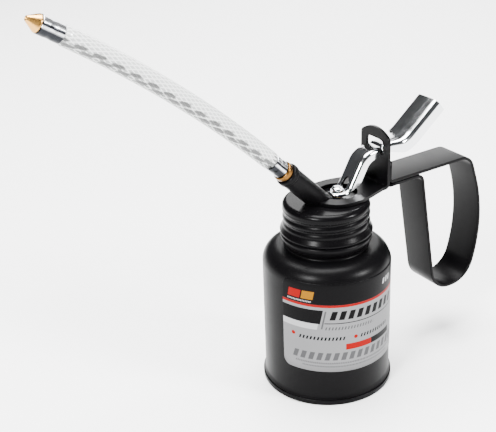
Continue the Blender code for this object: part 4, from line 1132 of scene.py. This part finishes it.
    def hose(self) -> Piece:
        """Return the hose: rings of the outer and inner radius carried along its arc, closed at both ends.

        U runs round the hose from its top, V along it in metres, as the braid's pattern needs.
        """
        length, pressed = self.arc_length, self.ferrule_radius - self.ferrule_wall - self.gap * self.squeeze
        bare = np.linspace(0.0, length, self.hose_steps)
        swell = 1.0 - np.exp(-np.minimum(bare, length - bare) / self.swell_length)
        outer = pressed + (self.hose_radius - pressed) * swell
        low, high = -self.lower_ferrule, length + self.upper_ferrule - self.gap
        distance = np.concatenate([[low], bare, [high], [high], bare[::-1], [low]])
        radius = np.concatenate([[pressed], outer, [pressed], np.full(self.hose_steps + 2, self.hose_bore)])[:, None]
        point, normal = self.hose_point(distance)
        angle = steps_round(self.segments)
        grid = np.stack([
            point[:, :1] + radius * normal[:, :1] * np.cos(angle),
            radius * np.sin(angle),
            point[:, 1:] + radius * normal[:, 1:] * np.cos(angle),
        ], axis=-1)
        uv = np.meshgrid(np.linspace(0.0, 1.0, self.segments + 1), np.append(distance, distance[0]))
        return grid_object("clear_hose", moved(grid), True, True, np.stack(uv, axis=-1))

    def nozzle(self) -> Piece:
        """Return the brass cone with its barbed tail."""
        base = self.upper_ferrule + self.gap
        tail = base - self.barb_length
        wide, top = self.ferrule_radius - self.ferrule_wall / 2, base + self.cone
        cone = fillet_path([(self.tip_bore, top), (self.tip_radius, top), (wide, base + self.gap), (wide, base),
                            (self.barb_radius, base)], self.cone_radii)
        inner = [(self.tail_bore, tail), (self.tail_bore, base), (self.tip_bore, base)]
        return self.turned("brass_cone", np.concatenate(
            [cone, np.asarray(self.barbs(base - self.tail_gap, tail)), inner]), True)


@dataclass
class StrapHandle:
    """The bracket that carries the lever and the strap bent into a handle."""

    sheet: float = 0.00135
    foot_z: float = 0.0835
    upright_x: float = 0.0252
    width: float = 0.0176
    bend: float = 0.001525
    disc_x: float = 0.0060
    disc_radius: float = 0.0134
    hole_radius: float = 0.0082
    arch_top: float = 0.1087
    arch_rise: float = 0.0034
    window_width: float = 0.0109
    window_low: float = 0.0970
    window_high: float = 0.1041
    tail_x: float = 0.0230
    strap_width: float = 0.0164
    strap_low: float = 0.0835
    tab_top: float = 0.0950
    grip_top: Pair = (0.0454, 0.0032)
    grip_corners: tuple[Triple, ...] = (
        (0.0549, 0.0246, 0.0110), (0.0750, 0.0244, 0.0120), (0.0839, 0.0545, 0.0670))
    grip_rear: Pair = (0.0730, 0.0070)
    tab_bend: float = 0.0018
    gap: float = 0.0003
    window_power: float = 4.5
    corner_power: float = 22.0
    broken_edge: float = 0.00022
    strap_edge: float = 0.00038
    strap_step: float = 0.004
    half_columns: int = 9
    search_steps: int = 4000

    def build(self) -> list[str]:
        """Build and dress the bracket and the strap; return the pieces' names."""
        return [place(self.bracket(), Finish.ENAMEL, Body.HEAD, "fulcrum_bracket"),
                place(self.strap(), Finish.ENAMEL, Body.HEAD, "handle_strap")]

    def bracket(self) -> Piece:
        """Return the bracket: each half of the sheet runs from its hole's edge to its outer edge.

        At length s the half-width is the disc's circle, its tangent or the arch, and the inner edge is the round
        hole, the socket's ellipse or the window's superellipse. The flat sheet is then wrapped round the bend.
        """
        middle_x, middle_z = self.upright_x + self.sheet / 2, self.foot_z + self.sheet / 2
        bend_x, quarter = middle_x - self.bend, self.bend * math.pi / 2
        rise = bend_x + quarter - (middle_z + self.bend)
        first, last = self.ring_start(), self.arch_top + rise
        window = (self.window_low + self.window_high) / 2 + rise
        tall = (self.window_high - self.window_low) / 2
        turn = np.linspace(0.0, math.pi, 41)
        window_s = window - tall * np.sign(np.cos(turn)) * np.abs(np.cos(turn)) ** (2.0 / self.window_power)
        hole_s = self.disc_x - self.hole_radius * np.cos(turn)
        disc_s = self.disc_x - self.disc_radius * np.cos(turn)
        tail_s = np.linspace(self.disc_x + self.disc_radius, window - tall, 40)
        arch_s = last - (last - window - tall) * (1.0 - np.sin(turn[:21]))
        s = np.unique(np.concatenate([[first], window_s, hole_s, disc_s, tail_s, arch_s]).round(7))
        s = s[s >= first]
        inner, outer = self.inner_edge(s, window, tall), self.outer_edge(s, last)
        share = np.linspace(0.0, 1.0, self.half_columns)
        y = inner[:, None] + np.maximum(outer - inner, 0.0)[:, None] * share
        turned = np.clip((s - bend_x) / self.bend, 0.0, QUARTER)
        x = np.minimum(s, bend_x) + self.bend * np.sin(turned)
        z = middle_z + self.bend * (1.0 - np.cos(turned)) + np.maximum(s - bend_x - quarter, 0.0)
        return mirrored_sheet("lever_bracket", x[:, None], y, z[:, None], self.sheet, self.broken_edge)

    def ring_start(self) -> float:
        """Return where the disc begins: the first place outside the socket's ellipse, found on a fine line."""
        s = np.linspace(self.disc_x - self.disc_radius, self.disc_x, self.search_steps)
        room = np.sqrt(self.disc_radius ** 2 - (s - self.disc_x) ** 2) - self.socket_edge(s)
        return float(s[np.argmax(room > 0.0)])

    def socket_edge(self, s: Array) -> Array:
        """Return half the width of the ellipse that the angled socket cuts in the foot."""
        spout = Spout()
        angle = math.radians(spout.angle_deg)
        wide = spout.socket_radius + self.gap
        centre = spout.start_x - (self.foot_z + self.sheet / 2 - spout.start_z) / math.tan(angle)
        share = (s - centre) * math.sin(angle) / wide
        return wide * np.sqrt(np.clip(1.0 - share ** 2, 0.0, 1.0))

    def inner_edge(self, s: Array, window: float, tall: float) -> Array:
        """Return half the width of whatever opening the sheet has at length s.

        Args:
            s: Lengths along the sheet, shape (n,).
            window: The length at the window's middle.
            tall: Half the window's height.

        Returns:
            The half-widths, shape (n,).
        """
        hole = np.sqrt(np.clip(self.hole_radius ** 2 - (s - self.disc_x) ** 2, 0.0, None))
        share = np.clip(np.abs((s - window) / tall), 0.0, 1.0)
        slot = self.window_width / 2 * (1.0 - share ** self.window_power) ** (1.0 / self.window_power)
        return np.maximum(np.maximum(hole, self.socket_edge(s)), slot)

    def outer_edge(self, s: Array, last: float) -> Array:
        """Return half the width of the sheet at length s; the arch and the sides meet in a soft corner.

        Args:
            s: Lengths along the sheet, shape (n,).
            last: The length at the arch's top.

        Returns:
            The half-widths, shape (n,).
        """
        half = self.width / 2
        disc = np.sqrt(np.clip(self.disc_radius ** 2 - (s - self.disc_x) ** 2, 0.0, None))
        reach = self.tail_x - self.disc_x
        away = math.hypot(half, reach)
        lean = math.atan2(half, reach) + math.acos(self.disc_radius / away)
        touch_s = self.disc_x + self.disc_radius * math.cos(lean)
        touch_y = self.disc_radius * math.sin(lean)
        slope = (half - touch_y) / (self.tail_x - touch_s)
        side = np.where(s < touch_s, disc, np.maximum(touch_y + slope * (s - touch_s), half))
        arch_radius = (half ** 2 + self.arch_rise ** 2) / (2 * self.arch_rise)
        arch = np.sqrt(np.clip(arch_radius ** 2 - np.clip(s - last + arch_radius, 0.0, None) ** 2, 0.0, None))
        power = self.corner_power
        return 1.0 / (side ** -power + np.maximum(arch, SHORTEST_EDGE) ** -power) ** (1.0 / power)

    def strap(self) -> Piece:
        """Return the strap: a rounded rectangle carried along the handle's middle line."""
        low = self.strap_low + self.sheet / 2
        high = low + self.sheet + self.gap
        tab = self.upright_x + self.sheet * 1.5 + self.gap
        corners = [(self.grip_top[0], low, self.grip_top[1]), *self.grip_corners,
                   (self.grip_rear[0], high, self.grip_rear[1]), (tab, high, self.tab_bend)]
        line = refined(fillet_path([(tab, low), *[(x, z) for x, z, _ in corners], (tab, self.tab_top)],
                                   [radius for *_, radius in corners], step_deg=3.0), self.strap_step)
        normal = path_normals(line)
        half, thick = self.strap_width / 2, self.sheet / 2
        section = fillet_path([(0.0, thick), (half, thick), (half, -thick), (-half, -thick), (-half, thick),
                               (0.0, thick)], [self.strap_edge] * 4, step_deg=25.0)[:-1]
        x = line[:, :1] + normal[:, :1] * section[:, 1]
        z = line[:, 1:] + normal[:, 1:] * section[:, 1]
        grid = np.stack([x, np.broadcast_to(section[:, 0], x.shape), z], axis=-1)
        return grid_object("grip_strap", moved(grid), False, True, end_faces=True)


@dataclass
class ThumbLever:
    """The pressed lever: a chromed channel with a slotted spoon nose and a groove where it rocks."""

    sheet: float = 0.0010
    path: tuple[Pair, ...] = (
        (0.0027, 0.0849), (0.0087, 0.0856), (0.0166, 0.0994), (0.0378, 0.1028), (0.0536, 0.1154))
    radii: tuple[float, ...] = (0.0025, 0.0090, 0.0110)
    front_width: float = 0.0092
    rear_width: float = 0.0130
    flare: Pair = (0.0290, 0.0360)
    edge: Pair = (0.0011, 0.0017)
    crown: float = 0.00024
    lip: float = 0.0012
    arm_depth: float = 0.0040
    pivot_depth: float = 0.0036
    rear_depth: float = 0.0060
    arm_x: Pair = (0.0088, 0.0112)
    pivot_x: float = 0.025875
    groove: float = 0.0007
    groove_half: float = 0.0005
    web_half: float = 0.0020
    web_columns: int = 8
    wall_columns: int = 4
    bend_columns: int = 6
    wall_share: float = 0.8
    web_share: float = 0.6
    step: float = 0.0005
    broken_edge: float = 0.00020
    slot_x: Pair = (0.0042, 0.0112)
    slot_half: float = 0.0017

    def build(self) -> list[str]:
        """Build and dress the lever; return its name."""
        return [place(self.lever(), Finish.CHROME, Body.LEVER, "thumb_lever")]

    def lever(self) -> Piece:
        """Return the lever: half of a channel's middle line carried along the path, and its mirror image.

        At each place the half-section runs from the slot's edge across the web, round a quarter circle and down
        the side wall. The web dips by the groove's depth times exp(-((x - pivot) / half width) squared). The
        thumb piece is crowned: it falls by the crown times (y / half width) squared.
        """
        line = fillet_path(self.path, self.radii, step_deg=3.0)
        nose = self.front_width / 2
        reach = np.linalg.norm(line[1] - line[0])
        ahead = (line[1] - line[0]) / reach
        turn = np.linspace(0.0, QUARTER, 12)
        head = line[0] + ahead * np.minimum(nose * (1.0 - np.cos(turn[:, None])), reach)
        line = refined(np.concatenate([head, line[1:]]), self.step)
        apart = np.linalg.norm(np.diff(line, axis=0), axis=1) > SHORTEST_EDGE / 10
        line = np.concatenate([line[:1], line[1:][apart]])
        normal = path_normals(line)
        x = line[:, 0]
        half = self.half_width(line)
        depth = self.depth(x)
        start = self.slot_edge(x)
        room = np.minimum(depth * self.wall_share, half * self.web_share)
        corner = np.minimum(np.interp(x, self.flare, self.edge), room)
        web = np.linspace(0.0, 1.0, self.web_columns)
        bend = np.linspace(0.0, QUARTER, self.bend_columns + 1)[1:]
        wall = np.linspace(0.0, 1.0, self.wall_columns + 1)[1:]
        inner = np.minimum(start, half - corner)
        y = np.concatenate([
            inner[:, None] + (half - corner - inner)[:, None] * web,
            (half - corner)[:, None] + corner[:, None] * np.sin(bend),
            np.broadcast_to(half[:, None], (len(x), self.wall_columns)),
        ], axis=1)
        down = np.concatenate([
            np.zeros((len(x), self.web_columns)),
            corner[:, None] * (1.0 - np.cos(bend)),
            corner[:, None] + (depth - corner)[:, None] * wall,
        ], axis=1)
        dip = self.groove * np.exp(-((x - self.pivot_x) / self.groove_half) ** 2)
        crown = np.interp(x, self.flare, (0.0, self.crown))
        sag = crown[:, None] * (np.minimum(y, (half - corner)[:, None]) / half[:, None]) ** 2
        down = self.sheet / 2 + down + sag + dip[:, None] * np.clip(1.0 - down / corner[:, None], 0.0, 1.0)
        return mirrored_sheet("chromed_lever", line[:, :1] + normal[:, :1] * down,
                              y - self.sheet / 2 * (y > self.web_half), line[:, 1:] + normal[:, 1:] * down,
                              self.sheet, self.broken_edge)

    def half_width(self, line: Array) -> Array:
        """Return half the lever's width: a round nose, a narrow arm and a wider thumb piece."""
        nose = self.front_width / 2
        from_tip = np.clip(np.linalg.norm(line - line[0], axis=1) / nose, 0.0, 1.0)
        share = np.clip((line[:, 0] - self.flare[0]) / (self.flare[1] - self.flare[0]), 0.0, 1.0)
        smooth = share * share * (3.0 - 2.0 * share)
        width = self.front_width + (self.rear_width - self.front_width) * smooth
        return width / 2 * np.sqrt(1.0 - (1.0 - from_tip) ** 2) + SHORTEST_EDGE

    def depth(self, x: Array) -> Array:
        """Return the side walls' depth, held by straight lines between the lever's stations."""
        places = [self.arm_x[0], self.arm_x[1], self.path[2][0], self.pivot_x, self.flare[0], self.flare[1]]
        values = [self.lip, self.arm_depth, self.arm_depth, self.pivot_depth, self.pivot_depth, self.rear_depth]
        return np.interp(x, places, values) - self.sheet / 2

    def slot_edge(self, x: Array) -> Array:
        """Return half the width of the rod's slot: a long hole with round ends."""
        low, high = self.slot_x[0] + self.slot_half, self.slot_x[1] - self.slot_half
        beyond = np.clip(np.maximum(low - x, x - high), 0.0, None)
        return np.sqrt(np.clip(self.slot_half ** 2 - beyond ** 2, 0.0, None))


@dataclass
class Plunger:
    """The plunger rod with its domed head."""

    x: float = 0.0059
    rod: float = 0.0014
    head: float = 0.0025
    head_low: float = 0.0859
    head_height: float = 0.0013
    rod_low: float = 0.0303
    rim: float = 0.0002
    radii: Pair = (0.0001, 0.0002)
    dome_end: float = 0.12
    dome_steps: int = 10
    segments: int = 64

    def build(self) -> list[str]:
        """Build and dress the rod; return its name."""
        return [place(self.plunger(), Finish.CHROME, Body.PLUNGER, "plunger_rod")]

    def plunger(self) -> Piece:
        """Return the rod and its head, whose top is a quarter of an ellipse: a profile turned about Z."""
        angle = np.linspace(QUARTER, self.dome_end, self.dome_steps)
        dome = np.stack([self.head * np.cos(angle),
                         self.head_low + self.rim + (self.head_height - self.rim) * np.sin(angle)], axis=1)
        under = fillet_path([(self.head, self.head_low), (self.rod, self.head_low), (self.rod, self.rod_low),
                             (0.0, self.rod_low)], self.radii)
        grid = lathe_grid(np.concatenate([dome, under]), self.segments)
        return grid_object("domed_plunger", moved(grid, self.x), False, True)


@dataclass
class ReturnSpring:
    """The coil between the piston's cup and the valve block, which shortens as the plunger rises."""

    wire: float = 0.00035
    turns: int = 8
    steps: int = 24
    sides: int = 8
    stroke: float = 0.00994

    def build(self) -> list[str]:
        """Build and dress the coil, which rides on the plunger; return its name."""
        low, high = (np.array(corner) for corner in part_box("return_spring"))
        middle = (low + high) / 2
        piece = grid_object("coil_spring", self.coil(middle, low, high), False, True, end_faces=True)
        name = place(piece, Finish.STEEL, Body.PLUNGER, "return_spring")
        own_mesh(piece)
        return [name]

    def coil(self, middle: Array, low: Array, high: Array) -> Array:
        """Return the wire's surface: a circle carried along the helix (R cos a, R sin a, rise times a).

        The circle's plane is spanned by the helix's outward way and the cross product of that with its tangent.

        Args:
            middle: The middle of the spring's box.
            low: The box's low corner.
            high: The box's high corner.

        Returns:
            The grid, shape (n, sides, 3).
        """
        radius = (high[0] - low[0]) / 2 - self.wire
        angle = np.linspace(0.0, FULL_TURN * self.turns, self.turns * self.steps + 1)
        rise = (high[2] - low[2] - 2 * self.wire) / angle[-1]
        out = np.stack([np.cos(angle), np.sin(angle), 0.0 * angle], axis=1)
        tangent = np.stack([-radius * np.sin(angle), radius * np.cos(angle), rise + 0.0 * angle], axis=1)
        across = np.cross(tangent, out) / math.hypot(radius, rise)
        start = np.array([middle[0], middle[1], low[2] + self.wire])
        centre = start + radius * out + np.stack([0.0 * angle, 0.0 * angle, rise * angle], axis=1)
        turn = steps_round(self.sides)[None, :, None]
        return centre[:, None] + self.wire * (np.cos(turn) * out[:, None] + np.sin(turn) * across[:, None])


@dataclass
class Internals:
    """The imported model's own solids that stay as they are and only get their finish."""

    nodes: dict[Finish, tuple[str, ...]] = field(default_factory=lambda: {
        Finish.STEEL: ("valve_block", "pump_barrel", "ball_pin", "inlet_ball", "outlet_ball"),
        Finish.BRASS: ("gland_nut", "foot_valve", "piston"),
        Finish.RUBBER: ("gland_packing", "piston_cup", "cap_gasket")})

    def build(self) -> list[str]:
        """Dress the solids; return their names."""
        dressed = [(node, finish) for finish, nodes in self.nodes.items() for node in nodes]
        for node, finish in dressed:
            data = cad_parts[node].data
            data.materials.clear()
            data.materials.append(material_of(finish))
        return [node for node, _ in dressed]


@dataclass(frozen=True)
class Softbox:
    """A square area light; its place is given from the can's axis."""

    name: str
    spot: Triple
    size: float
    power: float


@dataclass
class Studio:
    """The camera at the photograph's angle, pale floor and soft lights."""

    distance: float = 0.3888
    height: float = 0.26226
    yaw_deg: float = 32.23
    down_deg: float = 25.59
    roll_deg: float = -2.35
    focal_px: float = 1039.0
    image_px: float = 496.0
    sensor_mm: float = 36.0
    aside_deg: float = 37.0
    aim_height: float = 0.08
    floor_half: float = 3.0
    floor_drop: float = 0.00002
    floor_tone: float = 0.86
    floor_roughness: float = 0.7
    sky: Triple = (0.55, 0.56, 0.58)
    sky_strength: float = 0.16
    lights: tuple[Softbox, ...] = (
        Softbox("softbox_left", (-0.95, -0.35, 0.70), 0.28, 38.0),
        Softbox("softbox_right", (0.55, -0.85, 0.60), 0.26, 32.0),
        Softbox("softbox_top", (0.05, 0.22, 1.25), 0.90, 84.0),
        Softbox("softbox_back", (0.60, 0.72, 0.42), 0.50, 6.0),
    )

    def build(self) -> list[str]:
        """Build the camera, lights, floor and surrounding light; return their names."""
        return [self.camera(), *[self.softbox(light) for light in self.lights], self.floor(), self.world()]

    def camera(self) -> str:
        """Set the camera: its axes are yaw, then pitch, then roll, as fitted to the photograph."""
        yaw, down, roll = (math.radians(v) for v in (self.yaw_deg, self.down_deg, self.roll_deg))
        ahead = np.array([math.sin(yaw) * math.cos(down), math.cos(yaw) * math.cos(down), -math.sin(down)])
        right = np.array([math.cos(yaw), -math.sin(yaw), 0.0])
        up = np.cross(right, ahead)
        right, up = (math.cos(roll) * right + math.sin(roll) * up, -math.sin(roll) * right + math.cos(roll) * up)
        aside = math.radians(self.aside_deg)
        spot = (CAN_X - self.distance * math.sin(aside), -self.distance * math.cos(aside), self.height)
        data = bpy.data.cameras.new("photo_camera")
        data.sensor_width = self.sensor_mm
        data.lens = self.focal_px / self.image_px * self.sensor_mm
        bpy.context.scene.camera = self.hang(data, right, up, -ahead, spot)
        return data.name

    def softbox(self, box: Softbox) -> str:
        """Add one light that faces the can; return its name."""
        data = bpy.data.lights.new(box.name, "AREA")
        data.size = box.size
        data.energy = box.power
        spot = moved(np.array(box.spot))
        back = spot - np.array([CAN_X, 0.0, self.aim_height])
        back /= np.linalg.norm(back)
        side = np.cross([0.0, 0.0, 1.0], back)
        side /= np.linalg.norm(side)
        return self.hang(data, side, np.cross(back, side), back, spot).name

    def hang(self, data: bpy.types.ID, *columns: Sequence[float]) -> Piece:
        """Put a camera or a light in the scene; its columns are its three axes and its place."""
        matrix = np.eye(4)
        matrix[:3] = np.stack(columns, axis=1)
        thing = bpy.data.objects.new(data.name, data)
        thing.matrix_world = Matrix(matrix.tolist())
        bpy.context.scene.collection.objects.link(thing)
        return thing

    def floor(self) -> str:
        """Add the pale floor, a flat square; return its name."""
        across, along = np.meshgrid([-self.floor_half, self.floor_half], [-self.floor_half, self.floor_half])
        points = np.stack([across, along, np.full((2, 2), -self.floor_drop)], axis=-1)
        piece = grid_object("studio_floor", points, False, False)
        desk = Desk("pale_floor")
        desk.set(Base_Color=(*[self.floor_tone] * 3, 1.0), Roughness=self.floor_roughness)
        piece.data.materials.append(desk.material)
        return piece.name

    def world(self) -> str:
        """Set an even, pale surrounding light; return its name."""
        world = bpy.data.worlds.new("studio")
        world.use_nodes = True
        background = world.node_tree.nodes["Background"]
        background.inputs["Color"].default_value = (*self.sky, 1.0)
        background.inputs["Strength"].default_value = self.sky_strength
        bpy.context.scene.world = world
        return world.name


def main() -> None:
    """Build every sub-assembly in order and report each piece."""
    logging.basicConfig(level=logging.INFO, format="%(name)s: %(message)s")
    for assembly in (CanShell(), RibbedCap(), Spout(), StrapHandle(), ThumbLever(), Plunger(), ReturnSpring(),
                     Internals(), Studio()):
        for name in assembly.build():
            LOG.info("%s: %s", type(assembly).__name__, name)


if __name__ == "__main__":
    main()
